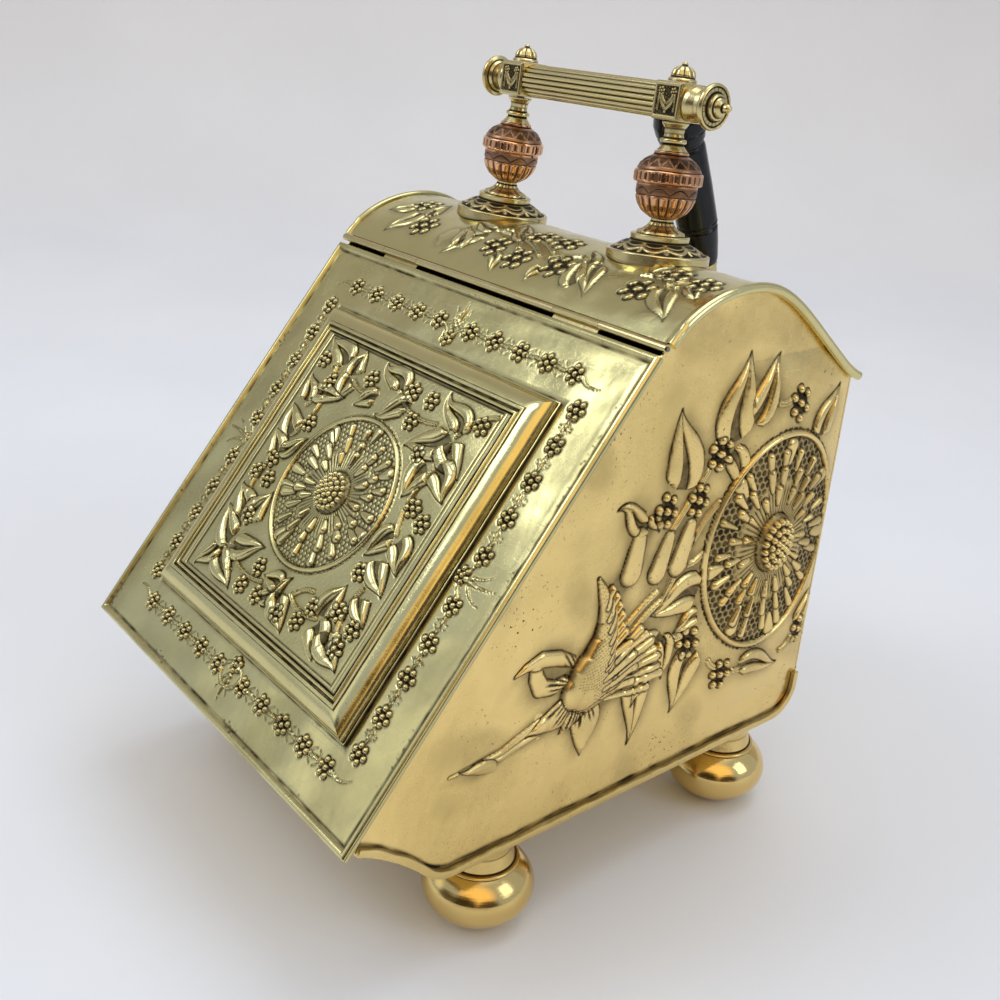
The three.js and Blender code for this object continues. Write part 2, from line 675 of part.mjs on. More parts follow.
// The moulding: base, ovolo, ridge, groove, small bead, and the ledge under the centre panel.
const mouldingFoot = lidField + clearance;
const ovoloStart = 1.2;
const ovoloEnd = ovoloStart + mouldingOvolo;
const ovoloBase = mouldingFoot + 1.1;
const quarter = (a, b, z, steps) => Array.from({ length: steps + 1 }, (_, i) => {
  const angle = i / steps * Math.PI / 2;
  return [ovoloEnd - a * Math.cos(angle), z + b * Math.sin(angle)];
});
const ridge = ovoloBase + mouldingRise + 0.8;
const ledge = ridge - 2.2;
const ledgeStart = ovoloEnd + 5.8;
const ledgeEnd = ledgeStart + mouldingLedge;
const innerRise = ledge - mouldingSheet - mouldingFoot - 0.1;
const lidMoulding = mitredFrame(mouldingHalfWidth, -mouldingTop, -mouldingTop - mouldingLength, [
  [0, mouldingFoot], [0, ovoloBase - 0.2],
  ...quarter(mouldingOvolo, mouldingRise, ovoloBase, 6),
  [ovoloEnd, ridge], [ovoloEnd + 1.9, ridge], [ovoloEnd + 2.4, ridge - 1.5], [ovoloEnd + 3, ridge - 1.5],
  [ovoloEnd + 3.5, ridge - 0.5], [ovoloEnd + 4.4, ridge], [ovoloEnd + 5.3, ridge - 0.6],
  [ledgeStart, ledge], [ledgeEnd, ledge],
  [ledgeEnd, ledge - mouldingSheet], [ovoloEnd, ledge - mouldingSheet],
  ...quarter(mouldingOvolo - mouldingSheet, innerRise, mouldingFoot, 5).reverse(),
]);

// The centre panel lies on the moulding's ledge.
const panelTop = ledge + clearance + centrePanelSheet;
const panelHalf = mouldingHalfWidth - ledgeStart - clearance;
const panelMiddle = -mouldingTop - mouldingLength / 2;
const panelHalfLength = mouldingLength / 2 - ledgeStart - clearance;
const onLidPanel = ([share, height], angle) => [
  panelTop + height,
  panelMiddle + share * lidMedallionRadius * Math.cos(angle),
  share * lidMedallionRadius * Math.sin(angle),
];
const flowerFoot = panelTop - centrePanelSheet / 2;
const lidFlowerRings = medallionProfile(lidRingHeight, lidBossHeight);
// Chased forms of the centre panel: x and distance down the lid, as on the sides.
const lidLeaves = [
  [-84, 64, -59, 76, 7, 0.14], [-46, 99, -46, 83, 6, 0], [-83, 91, -73, 108, 5.5, 0.14],
  [-83, 113, -66, 131, 7.5, -0.14], [-83, 131, -69, 148, 6, 0.14], [-23, 64, 1, 76, 6, 0],
  [41, 64, 65, 83, 5.5, 0], [30, 103, 60, 87, 7, -0.16], [83, 106, 62, 90, 6.8, 0.12],
  [83, 121, 66, 105, 6.8, -0.14], [52, 129, 57, 108, 6.8, 0.14], [52, 167, 64, 149, 5.5, 0.14],
  [82, 181, 65, 165, 6, 0.14], [54, 186, 50, 208, 6.5, -0.12], [62, 230, 50, 213, 6.8, -0.14],
  [82, 227, 61, 213, 7, 0.14], [27, 230, 9, 212, 6.2, 0.14], [-82, 172, -63, 190, 7, -0.14],
  [-50, 167, -54, 190, 7, -0.14], [-82, 188, -60, 206, 7, -0.14], [-27, 197, -56, 207, 6, 0.12],
  [-36, 230, -63, 213, 6.2, 0.14],
];
const lidClusters = [
  [-28, 77], [-62, 90], [-57, 119], [12, 73], [30, 73], [66, 131], [57, 176], [77, 204], [34, 219],
  [-70, 162], [-21, 208], [-9, 224],
];
const onLidSurface = (x, down, level) => [panelTop + level, -down, x];
const lidForms = union(
  relief(lidFlowerRings, FLOWER_ROUND, flowerFoot, onLidPanel),
  ...lidLeaves.map((leaf) => leafForm(leaf, lidLeafHeight, flowerFoot, onLidSurface)),
  ...lidClusters.map((spot) => domeForm(spot, lidClusterRadius, lidClusterHeight, flowerFoot, onLidSurface)),
);
const centrePanel = union(
  block(
    -panelHalf,
    panelHalf,
    panelMiddle - panelHalfLength,
    panelMiddle + panelHalfLength,
    panelTop - centrePanelSheet,
    panelTop,
  ),
  lidForms.rotate([0, -90, 0]).mirror([1, 0, 0]),
);

// ---------------------------------------------------------------- feet
const footTop = footHeight - clearance;
const bunMiddle = bunHeight / 2;
const bunArc = (wall, from, to, steps) => Array.from({ length: steps + 1 }, (_, i) => {
  const angle = from + (to - from) * i / steps;
  return [(bunRadius - wall) * Math.cos(angle), bunMiddle + (bunMiddle - wall) * Math.sin(angle)];
});
const bunLow = -Math.acos(footBaseRadius / bunRadius);
const bunHigh = Math.acos((footRingRadius - 0.9) / bunRadius);
const spigotLength = sheet + clearance + footNutHeight;
const foot = turned([
  [0, 0], [footBaseRadius - 1, 0],
  ...bunArc(0, bunLow, bunHigh, 7),
  [footRingRadius, bunMiddle + bunMiddle * Math.sin(bunHigh) + 0.8],
  [footRingRadius, bunMiddle + bunMiddle * Math.sin(bunHigh) + 1.8],
  [footNeckRadius + 2.4, bunMiddle + bunMiddle * Math.sin(bunHigh) + 2.6],
  [footNeckRadius, footTop - 12], [footNeckRadius + 0.3, footTop - 7], [footNeckRadius + 1.8, footTop - 3],
  [footFlareRadius, footTop - 1], [footFlareRadius, footTop],
  [footSpigotRadius, footTop], [footSpigotRadius, footTop + spigotLength],
  [2, footTop + spigotLength], [2, footTop - 16],
  ...bunArc(footWall, Math.PI / 3, -Math.PI / 3, 3),
  [0, footWall + 1],
], ROUND);
const footNut = hexNut(footNutAcross, footNutHeight, footSpigotRadius + clearance);

// ---------------------------------------------------------------- handle
const bore = tieRadius + clearance;
const stemTop = flangeTop + clearance + stemHeight;
const bowlFoot = stemTop + clearance;
const bowlTop = bowlFoot + bowlHeight;
const bandFoot = bowlTop + clearance;
const bandTop = bandFoot + bandHeight;
const domeFoot = bandTop + clearance;
const domeTop = domeFoot + domeHeight;
const neckFoot = domeTop + clearance;
const neckTop = neckFoot + neckHeight;
const splay = rad(pillarSplayDeg);
const neckFlare = neckRadius + 2.2;
const blockFoot = neckTop * Math.cos(splay) + clearance + neckFlare * Math.sin(splay);
const gripHeight = blockFoot + blockSide / 2;
const pillarHalf = pillarSpacing / 2;
const blockHalfSpacing = pillarHalf - gripHeight * Math.tan(splay);

const handleGroup = new THREE.Group();
handleGroup.position.set(0, handleReach, handleRise);
handleGroup.rotation.x = -rad(handleTiltDeg);
const pillarGroups = [-1, 1].map((side) => {
  const group = new THREE.Group();
  group.position.x = side * pillarHalf;
  group.rotation.y = -side * splay;
  handleGroup.add(group);
  return group;
});
handleGroup.updateMatrixWorld(true);

// Everything under the cover's surface, to saddle the flanges on it.
const saddleFoot = -80;
const saddle = prism(
  [...offsetLine(coverLine, clearance), v2(tailEnd, saddleFoot), v2(coverStart.x, saddleFoot)],
  -lidHalf,
  lidHalf,
);
const flangeBlank = turned([
  [bore, flangeTop - 5.5], [flangeRadius - 10, flangeRimHeight - 1],
  [flangeRadius - 2.6, -3], [flangeRadius - 2.6, -26], [flangeRadius, -26],
  [flangeRadius, flangeRimHeight - 0.5], [flangeRadius - 0.5, flangeRimHeight],
  [flangeRadius - 2, flangeRimHeight + 0.3], [flangeRadius - 6.5, flangeRimHeight + 2.6],
  [flangeRadius - 10.5, flangeRimHeight + 5],
  [flangeRadius - 13.3, flangeTop - 3.6], [flangeRadius - 13, flangeTop - 3],
  [flangeRadius - 13, flangeTop - 0.5], [flangeRadius - 13.8, flangeTop], [bore, flangeTop],
], FLOWER_ROUND);
const intoPillar = pillarGroups.map((group) => group.matrixWorld.clone().invert());
const flanges = intoPillar.map((matrix) => cut(flangeBlank, saddle.transform(matrix.elements)));

const stem = turned([
  [bore, flangeTop + clearance], [14.3, flangeTop + clearance], [13.4, flangeTop + 1.5], [10, flangeTop + 3],
  [7.6, flangeTop + 5], [6.4, stemTop - 1.6], [6.7, stemTop], [bore, stemTop],
]);
const bowl = turned([
  [bore, bowlFoot], [bowlRadius * 0.46, bowlFoot], [bowlRadius * 0.52, bowlFoot + 0.9],
  [bowlRadius * 0.74, bowlFoot + 3.6], [bowlRadius * 0.89, bowlFoot + 7.2],
  [bowlRadius * 0.97, bowlFoot + 11], [bowlRadius, bowlFoot + 14.6], [bowlRadius, bowlTop], [bore, bowlTop],
]);
const beltRing = turned([
  [bore, bandFoot], [bandRadius - 0.7, bandFoot], [bandRadius, bandFoot + 0.7],
  [bandRadius, bandTop - 0.7], [bandRadius - 0.7, bandTop], [bore, bandTop],
]);
const dome = turned([
  [bore, domeFoot], [bandRadius - 1.2, domeFoot], [bandRadius - 1.7, domeFoot + 1.4],
  [bandRadius - 3.6, domeFoot + 4], [bandRadius - 6.4, domeFoot + 6.6], [bandRadius - 9.6, domeFoot + 8.3],
  [bandRadius - 9.9, domeFoot + 8.6], [bandRadius - 9.9, domeTop - 0.3], [bandRadius - 10.4, domeTop],
  [bore, domeTop],
]);
const neck = turned([
  [bore, neckFoot], [9, neckFoot], [7.9, neckFoot + 1.3], [6.2, neckFoot + 3.4], [6.2, neckFoot + 4],
  [7.4, neckFoot + 4.4], [7.7, neckFoot + 5.4], [7.4, neckFoot + 6.4], [neckRadius + 0.5, neckFoot + 6.9],
  [neckRadius, neckFoot + 9.4], [neckRadius + 0.3, neckFoot + 12.2], [neckFlare, neckTop - 0.8],
  [neckFlare, neckTop], [bore, neckTop],
], 16);

const coverUnderHandle = lineHeight(coverLine, handleReach) - sheet - handleRise;
const coverTurn = Math.atan2(
  lineHeight(coverLine, handleReach - washerRadius) - lineHeight(coverLine, handleReach + washerRadius),
  2 * washerRadius,
);
const washerTop = coverUnderHandle - washerRadius * Math.sin(Math.abs(coverTurn) + rad(1)) - clearance;
const washer = turned([
  [bore, washerTop - washerThickness], [washerRadius, washerTop - washerThickness],
  [washerRadius, washerTop], [bore, washerTop],
], 14);
const tieNutFoot = washerTop - washerThickness - clearance - tieNutHeight;
const tieNut = hexNut(tieNutAcross, tieNutHeight, bore).translate([0, 0, tieNutFoot]);
const tieSocketDepth = 7;
const tieRod = rod(tieRadius, tieNutFoot - 1, blockFoot + tieSocketDepth - 1);
const tieHoles = pillarGroups.map((group) => (
  rod(bore, tieNutFoot, flangeTop).transform(group.matrixWorld.elements)
));
const topCover = cut(coverSheet, ...tieHoles);

// The blocks, drawn about their own middle: sockets for the tie rod, finial, grip and end cap.
const blockHalf = blockSide / 2;
const blockWidthHalf = blockHalf - 0.1;
const gripSocket = gripSpigotRadius + clearance;
const blockSolid = cut(
  block(-blockWidthHalf, blockWidthHalf, -blockHalf, blockHalf, -blockHalf, blockHalf),
  rod(tieRadius + 0.9, -blockHalf - 1, -blockHalf + tieSocketDepth),
  rod(finialSpigotRadius + clearance, blockHalf - socketDepth - 1, blockHalf + 1),
  rodX(gripSocket, -blockWidthHalf - 1, -blockWidthHalf + socketDepth),
  rodX(gripSocket, blockWidthHalf - socketDepth, blockWidthHalf + 1),
);
const gripHalf = blockHalfSpacing - blockWidthHalf - clearance;
const reedSteps = 4;
const reedOutline = Array.from({ length: reedCount * reedSteps }, (_, i) => {
  const angle = i * 2 * Math.PI / (reedCount * reedSteps);
  const reed = Math.abs(Math.sin(angle * reedCount / 2));
  return polar(gripRadius - reedDepth + reedDepth * reed, angle);
});
const gripReach = gripHalf + clearance + socketDepth - clearance;
const grip = union(prism(reedOutline, -gripHalf, gripHalf), rodX(gripSpigotRadius, -gripReach, gripReach));

const capScale = capRadius / 12.6;
const endCap = alongX(turned([
  [0, -socketDepth + clearance], [gripSpigotRadius, -socketDepth + clearance], [gripSpigotRadius, clearance],
  [9.6 * capScale, clearance], [10 * capScale, 1.6], [9.7 * capScale, 4], [8.4 * capScale, 8],
  [8.1 * capScale, 11.4], [9.8 * capScale, 14],
  [capRadius - 0.2, 14.7], [capRadius, 15.8], [capRadius - 0.3, 17], [capRadius - 1.6, 17.5],
  [7.2, 17.3], [6.9, 19.2], [5.4, 19.8], [4.8, 21.4], [3.2, 22.4], [2, capLength - 4.9],
  [2.5, capLength - 3.5], [2.3, capLength - 1.7], [1.3, capLength - 0.4], [0, capLength],
], 18));
const finial = turned([
  [0, -socketDepth + clearance], [finialSpigotRadius, -socketDepth + clearance],
  [finialSpigotRadius, clearance], [finialRadius - 0.3, clearance],
  [finialRadius, 1.2], [finialRadius - 0.8, 2.2], [7, 2.5], [7.1, 4],
  [6.3, 6.3], [4.3, 8.1], [1.9, 8.9], [1.6, 9.3], [1.8, 9.9], [1.1, finialHeight - 0.2], [0, finialHeight],
], 16);

// ---------------------------------------------------------------- shovel
const shovelLean = rad(shovelLeanDeg);
const panTop = -panDrop;
const panBackY = shovelAxisReach;           // outside of the pan's floor
const panTip = panTop - panLength;
const panFrontY = panBackY - panDepth;
const panTipFrontY = panBackY - panLipDepth;
const panHalf = panWidth / 2;
// The pan hangs tip down with its hollow towards the box: outer block less the inside.
function panBlock(inset, reach) {
  const grow = panFlare / 2;
  const outline = [
    v2(-panHalf + inset, panTop - inset), v2(panHalf - inset, panTop - inset),
    v2(panHalf + grow - inset, panTip - reach), v2(-panHalf - grow + inset, panTip - reach),
  ];
  const geometry = extruded(outline, 3 * panDepth);
  geometry.rotateX(Math.PI / 2);
  geometry.translate(0, panBackY - inset, 0);
  return toSolid(geometry);
}
const panTrimFrontY = panBackY - 5 * panDepth;
const panSideTrim = prism([
  v2(panFrontY, panTop + panLipDepth), v2(panFrontY, panTop - panStraight),
  v2(panTipFrontY, panTip), v2(panTipFrontY, panTip - panLipDepth),
  v2(panTrimFrontY, panTip - panLipDepth), v2(panTrimFrontY, panTop + panLipDepth),
], -2 * panHalf, 2 * panHalf);
const tangPlateY = panBackY + clearance;
const tangRivetHeights = tangRivetDrops.map((drop) => panTop - drop);
const alongY = (solid, x, y, z) => alongBack(solid).translate([x, y, z]);
const shankHole = (x, y, z) => alongY(rod(rivetRadius + clearance, -6, 6), x, y, z);
const tangRivetHoles = tangRivetHeights.map((z) => shankHole(0, panBackY, z));
const shovelPan = cut(
  panBlock(0, 0),
  panBlock(panSheet, panLipDepth),
  panSideTrim,
  ...tangRivetHoles,
);
const shovelAxis = new THREE.Group();
shovelAxis.position.set(0, shovelAxisReach, panTop);
shovelAxis.rotation.x = shovelLean;
const socketFoot = (tangThickness + shovelSocketRadius + 1) * Math.tan(shovelLean) + 3;
const socketTop = socketFoot + shovelSocketLength;
const socketCone = turned([
  [0, socketFoot], [shovelSocketRadius - 2.2, socketFoot], [shovelSocketRadius - 1.6, socketFoot + 8],
  [shovelSocketRadius, socketTop - 3], [shovelSocketRadius + 0.8, socketTop - 2],
  [shovelSocketRadius + 0.8, socketTop], [shovelSocketRadius - 1.2, socketTop],
  [shovelSocketRadius - 1.2, socketTop - 14], [0, socketTop - 14],
], 20).rotate([shovelLeanDeg, 0, 0]).translate([0, shovelAxisReach, panTop]);
const tangTopY = shovelAxisReach - Math.sin(shovelLean) * (socketFoot + 4);
const tangTopZ = panTop + Math.cos(shovelLean) * (socketFoot + 4);
const tang = prism([
  v2(tangPlateY, panTop - tangLength), v2(tangPlateY + tangThickness, panTop - tangLength),
  v2(tangPlateY + tangThickness, panTop - 1), v2(tangPlateY + tangThickness - 0.4, panTop + 2),
  v2(tangTopY + 3, tangTopZ + 1), v2(tangTopY - 3, tangTopZ), v2(tangPlateY - 1.6, panTop + 1.2),
  v2(tangPlateY, panTop + 0.4),
], -tangWidth / 2, tangWidth / 2);
const shovelSocket = cut(
  union(socketCone, tang),
  ...tangRivetHoles,
);
const gripFoot = socketTop + clearance;
const gripTop = gripFoot + shovelGripLength;
const shovelGrip = turned([
  [0, gripFoot - 12], [shovelSocketRadius - 1.6, gripFoot - 12], [shovelSocketRadius - 1.6, gripFoot],
  [shovelTaperRadius, gripFoot], [shovelTaperRadius + 0.8, gripFoot + 3],
  [shovelTaperRadius + 2.6, gripFoot + 14],
  [shovelGripRadius - 0.4, gripFoot + 26], [shovelGripRadius - 0.9, gripFoot + 27.5],
  [shovelGripRadius, gripFoot + 29], [shovelGripRadius + 0.4, gripFoot + 55],
  [shovelGripRadius + 0.2, gripTop - 34], [shovelGripRadius - 0.7, gripTop - 30],
  [shovelGripRadius + 0.8, gripTop - 28], [shovelButtRadius - 0.4, gripTop - 20],
  [shovelButtRadius, gripTop - 14], [shovelButtRadius - 1.6, gripTop - 7],
  [shovelButtRadius - 6.4, gripTop - 1.8], [0, gripTop],
]);

// A rivet with a domed head at its top and a flat clench at its foot, along the Z axis.
function rivet(gripLength) {
  return turned([
    [0, -clearance - 1], [rivetHeadRadius - 1, -clearance - 1], [rivetHeadRadius - 1, -clearance],
    [rivetRadius, -clearance], [rivetRadius, gripLength + clearance],
    [rivetHeadRadius, gripLength + clearance], [rivetHeadRadius - 0.3, gripLength + clearance + 0.8],
    [rivetHeadRadius - 1.6, gripLength + clearance + rivetHeadHeight - 0.2],
    [0, gripLength + clearance + rivetHeadHeight],
  ], SMALL_ROUND);
}
const tangRivet = rivet(panSheet + clearance + tangThickness);

// The pocket that the pan drops into: a bent strap with a floor, riveted to the back.
const pocketInnerHalf = panHalf + panFlare / 2 + 1.5;
const pocketOuterHalf = pocketInnerHalf + pocketSheet;
const pocketFoot = panTip - clearance - pocketSheet;
const pocketTop = pocketFoot + pocketHeight;
const pocketNear = backDepth + clearance;
const pocketFar = panBackY + clearance + pocketSheet;
const rivetX = pocketOuterHalf + pocketFlange / 2;
const pocketRivetEdge = 12;
const pocketRivetHeights = [pocketFoot + pocketRivetEdge, pocketTop - pocketRivetEdge];
const pocketRivetSpots = [-1, 1].flatMap((side) => pocketRivetHeights.map((z) => [side * rivetX, z]));
const pocketHoles = pocketRivetSpots.map(([x, z]) => shankHole(x, backDepth, z));
const pocketFlangeEnd = pocketOuterHalf + pocketFlange;
// A block of the pocket's full height, on one side or the other.
function wingBlock(side, inner, outer, near, far) {
  const [x0, x1] = [side * inner, side * outer].sort((a, b) => a - b);
  return block(x0, x1, near, far, pocketFoot, pocketTop);
}
const shovelPocket = cut(
  union(
    block(-pocketOuterHalf, pocketOuterHalf, pocketFar - pocketSheet, pocketFar, pocketFoot, pocketTop),
    block(-pocketOuterHalf, pocketOuterHalf, pocketNear, pocketFar, pocketFoot, pocketFoot + pocketSheet),
    ...[-1, 1].flatMap((side) => [
      wingBlock(side, pocketInnerHalf, pocketOuterHalf, pocketNear, pocketFar),
      wingBlock(side, pocketInnerHalf, pocketFlangeEnd, pocketNear, pocketNear + pocketSheet),
    ]),
  ),
  ...pocketHoles,
);
const backPanel = cut(backSheet, ...pocketHoles);
const pocketRivet = rivet(sheet + clearance + pocketSheet);

// ---------------------------------------------------------------- assembly
const scuttle = new THREE.Group();

function add(name, solid, material, parent = scuttle) {
  const mesh = new THREE.Mesh(toGeometry(solid), material);
  mesh.name = name;
  parent.add(mesh);
  return mesh;
}

add('side_panel_left', sidePanel(-1), boxBrass);
add('side_panel_right', sidePanel(1), boxBrass);
add('bottom_tray', bottomTray, boxBrass);
add('back_panel', backPanel, boxBrass);
add('top_cover', topCover, lidBrass);
add('coal_liner', linerTub, liner);
add('hinge_leaf_cover', coverLeaf, castBrass);
const pinEnd = barrelEnd + pinProud;
add('hinge_pin', rodX(pinRadius, -pinEnd, pinEnd).translate([0, hinge.x, hinge.y]), steel);

const lid = new THREE.Group();
lid.rotation.x = lidSlope;
scuttle.add(lid);
add('lid_skin', lidSkin, lidBrass, lid);
add('hinge_leaf_lid', lidLeaf, castBrass, lid);
add('lid_backing_sheet', lidBacking, steel, lid);
add('lid_moulding', lidMoulding, lidBrass, lid);
add('lid_centre_panel', centrePanel, lidBrass, lid);

[['left', -1], ['right', 1]].forEach(([sideName, side]) => {
  [['front', -footFront], ['rear', footRear]].forEach(([endName, y]) => {
    const footMesh = add(`bun_foot_${endName}_${sideName}`, foot, polishedBrass);
    footMesh.position.set(side * footInset, y, underside - footHeight);
    const nutMesh = add(`foot_nut_${endName}_${sideName}`, footNut, steel);
    nutMesh.position.set(side * footInset, y, underside + sheet + clearance);
  });
});

scuttle.add(handleGroup);
[['left', -1], ['right', 1]].forEach(([sideName, side], i) => {
  const pillar = pillarGroups[i];
  add(`pillar_flange_${sideName}`, flanges[i], castBrass, pillar);
  add(`pillar_stem_${sideName}`, stem, castBrass, pillar);
  add(`urn_bowl_${sideName}`, bowl, copper, pillar);
  add(`urn_band_${sideName}`, beltRing, copper, pillar);
  add(`urn_dome_${sideName}`, dome, copper, pillar);
  add(`pillar_neck_${sideName}`, neck, castBrass, pillar);
  add(`tie_rod_${sideName}`, tieRod, steel, pillar);
  add(`tie_washer_${sideName}`, washer, steel, pillar);
  add(`tie_nut_${sideName}`, tieNut, steel, pillar);
  const blockMesh = add(`handle_block_${sideName}`, blockSolid, castBrass, handleGroup);
  blockMesh.position.set(side * blockHalfSpacing, 0, gripHeight);
  const finialMesh = add(`finial_${sideName}`, finial, castBrass, handleGroup);
  finialMesh.position.set(side * blockHalfSpacing, 0, gripHeight + blockHalf);
  const cap = side > 0 ? endCap : endCap.mirror([1, 0, 0]);
  const capMesh = add(`end_cap_${sideName}`, cap, castBrass, handleGroup);
  capMesh.position.set(side * (blockHalfSpacing + blockWidthHalf), 0, gripHeight);
});
add('handle_grip', grip, castBrass, handleGroup).position.z = gripHeight;

add('shovel_pan', shovelPan, boxBrass);
add('shovel_socket', shovelSocket, castBrass);
scuttle.add(shovelAxis);
add('shovel_grip', shovelGrip, ebonised, shovelAxis);
tangRivetHeights.forEach((z, i) => {
  add(`shovel_rivet_${i + 1}`, alongBack(tangRivet), castBrass).position.set(0, panBackY - panSheet, z);
});
add('shovel_pocket', shovelPocket, boxBrass);
pocketRivetSpots.forEach(([x, z], i) => {
  add(`pocket_rivet_${i + 1}`, alongBack(pocketRivet), castBrass).position.set(x, backDepth - sheet, z);
});

// Origin: on the floor, under the middle of everything.
const assembly = new THREE.Group();
assembly.add(scuttle);
assembly.updateMatrixWorld(true);
const bounds = new THREE.Box3().setFromObject(scuttle, true);
const middle = bounds.getCenter(new THREE.Vector3());
scuttle.position.set(-middle.x, -middle.y, -bounds.min.z);
assembly.updateMatrixWorld(true);

export default assembly;
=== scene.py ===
"""Looks of a brass coal scuttle: repousse lid, sides and cover, turned feet and a copper-set handle.

Shapes are worked out in millimetres from the middle of the lid's top edge (X across, Y to the back,
Z up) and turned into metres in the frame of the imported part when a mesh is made.
"""

import json
import math

import bmesh
import bpy
import numpy as np
from mathutils import Matrix, Vector


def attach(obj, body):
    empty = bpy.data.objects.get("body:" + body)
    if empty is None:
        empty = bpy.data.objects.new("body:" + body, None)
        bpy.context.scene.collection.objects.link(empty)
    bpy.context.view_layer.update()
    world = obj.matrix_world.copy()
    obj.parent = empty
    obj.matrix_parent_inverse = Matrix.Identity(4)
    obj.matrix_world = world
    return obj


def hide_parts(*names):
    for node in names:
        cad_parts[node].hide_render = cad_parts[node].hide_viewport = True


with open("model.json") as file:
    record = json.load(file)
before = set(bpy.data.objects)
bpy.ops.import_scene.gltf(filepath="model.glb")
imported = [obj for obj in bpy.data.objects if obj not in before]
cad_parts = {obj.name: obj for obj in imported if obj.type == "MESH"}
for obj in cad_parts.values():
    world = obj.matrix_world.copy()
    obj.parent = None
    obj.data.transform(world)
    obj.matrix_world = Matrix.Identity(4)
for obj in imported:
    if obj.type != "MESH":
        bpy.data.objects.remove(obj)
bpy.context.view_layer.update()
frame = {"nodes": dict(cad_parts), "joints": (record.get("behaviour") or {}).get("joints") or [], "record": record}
MM = 0.001
rng = np.random.default_rng(7)

# ---------------------------------------------------------------- sizes, in millimetres and degrees
LID_SLOPE = math.radians(51.4)
HINGE_SETBACK, HINGE_DROP = 5.15, 2.28              # the pin, from the lid's top edge
LID_HALF, LID_LENGTH, LID_RIM = 152.5, 296.3, 4.6
LID_FIELD = -1.8                                    # the flat of the lid's sheet, from its datum
BODY_HALF, SHEET, CLEARANCE = 149.7, 1.2, 0.3
MOULDING_HALF, MOULDING_TOP, MOULDING_LENGTH = 110.7, 42.4, 212.0
MOULDING_MIDDLE = MOULDING_TOP + MOULDING_LENGTH / 2
OVOLO, MOULDING_RISE = 11.2, 7.7
PANEL_HALF_X, PANEL_HALF_S, PANEL_S, PANEL_TOP = 92.2, 87.5, 148.4, 7.2

DOWN = np.array([0.0, -math.cos(LID_SLOPE), -math.sin(LID_SLOPE)])
OUT = np.array([0.0, -math.sin(LID_SLOPE), math.cos(LID_SLOPE)])
ACROSS = np.array([1.0, 0.0, 0.0])
HINGE = -HINGE_SETBACK * DOWN - HINGE_DROP * OUT
joint = next(j for j in frame["joints"] if j["name"] == "lid_hinge")
EDGE = np.array(joint["pos_m"]) / MM - HINGE        # the lid's top edge, in the part's frame


# ---------------------------------------------------------------- meshes
def signed_volume(points, faces):
    """Six times the volume that the faces enclose, below zero where they face inwards."""
    total = 0.0
    for group in faces:
        for k in range(1, group.shape[1] - 1):
            a, b, c = points[group[:, 0]], points[group[:, k]], points[group[:, k + 1]]
            total += np.einsum("ij,ij->", a, np.cross(b, c))
    return total


def piece(name, points, faces, body, slot, replaces, patina_and_shade, sharp):
    """A closed mesh from points (mm, from the lid's edge) and arrays of faces with equal corner counts."""
    points = np.asarray(points, float)
    faces = [np.asarray(group, int).reshape(len(group), -1) for group in faces if len(group)]
    if signed_volume(points - points.mean(0), faces) < 0:
        faces = [group[:, ::-1] for group in faces]
    loops = np.concatenate([group.ravel() for group in faces])
    sizes = np.concatenate([np.full(len(group), group.shape[1]) for group in faces])
    starts = np.concatenate([[0], np.cumsum(sizes)[:-1]])
    mesh = bpy.data.meshes.new(name)
    mesh.vertices.add(len(points))
    mesh.vertices.foreach_set("co", ((points + EDGE) * MM).astype(np.float32).ravel())
    mesh.loops.add(len(loops))
    mesh.loops.foreach_set("vertex_index", loops.astype(np.int32))
    mesh.polygons.add(len(sizes))
    mesh.polygons.foreach_set("loop_start", starts.astype(np.int32))
    mesh.update(calc_edges=True)
    mesh.validate()
    mesh.polygons.foreach_set("use_smooth", np.ones(len(mesh.polygons), bool))
    mesh.set_sharp_from_angle(angle=math.radians(sharp))
    mesh.attributes.new("patina_and_shade", "FLOAT", "POINT").data.foreach_set("value", patina_and_shade.astype(np.float32))
    mesh.materials.append(FINISH[slot])
    item = bpy.data.objects.new(name, mesh)
    bpy.context.scene.collection.objects.link(item)
    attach(item, body)
    if replaces:
        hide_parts(*replaces)
    return item


def numbered(rows, columns):
    return np.arange(rows * columns).reshape(rows, columns)


def grid_faces(rows, columns):
    index = numbered(rows, columns)
    return np.stack([index[:-1, :-1], index[1:, :-1], index[1:, 1:], index[:-1, 1:]], -1).reshape(-1, 4)


def border(rows, columns):
    """The outermost vertices of a grid, in order round it."""
    index = numbered(rows, columns)
    return np.concatenate([index[:, 0], index[-1, 1:], index[-2::-1, -1], index[0, -2:0:-1]])


def skirt(loop, first, levels):
    """Faces from a border loop down through further loops, which are numbered on from first."""
    count = len(loop)
    rings = [np.asarray(loop)] + [first + k * count + np.arange(count) for k in range(levels)]
    sides = [np.stack([a, np.roll(a, -1), np.roll(b, -1), b], -1) for a, b in zip(rings, rings[1:])]
    return np.concatenate(sides), rings[-1]


def relief_sheet(name, outer, foot, dark, foot_dark, body, slot, replaces, sharp):
    """A closed piece: its face is a grid of points, and its back joins the points at its border's foot."""
    grid = outer.shape[:2]
    walls, last = skirt(border(*grid), grid[0] * grid[1], 1)
    points = np.concatenate([outer.reshape(-1, 3), foot])
    patina_and_shade = np.concatenate([dark.ravel(), np.full(len(foot), foot_dark)])
    piece(name, points, [grid_faces(*grid), walls, last[None]], body, slot, replaces, patina_and_shade, sharp)


def moved(points, matrix):
    """An array of points, taken through a matrix."""
    turn = np.array(matrix)
    return points @ turn[:3, :3].T + turn[:3, 3]


def lengths_along(line):
    """The way covered at each point of a line."""
    return np.concatenate([[0], np.cumsum(np.linalg.norm(np.diff(line, axis=0), axis=1))])


def left_of(line):
    """Unit vectors to the left of a plane line's direction."""
    along = np.gradient(line, axis=0)
    along /= np.linalg.norm(along, axis=1)[:, None]
    return np.stack([-along[:, 1], along[:, 0]], -1)


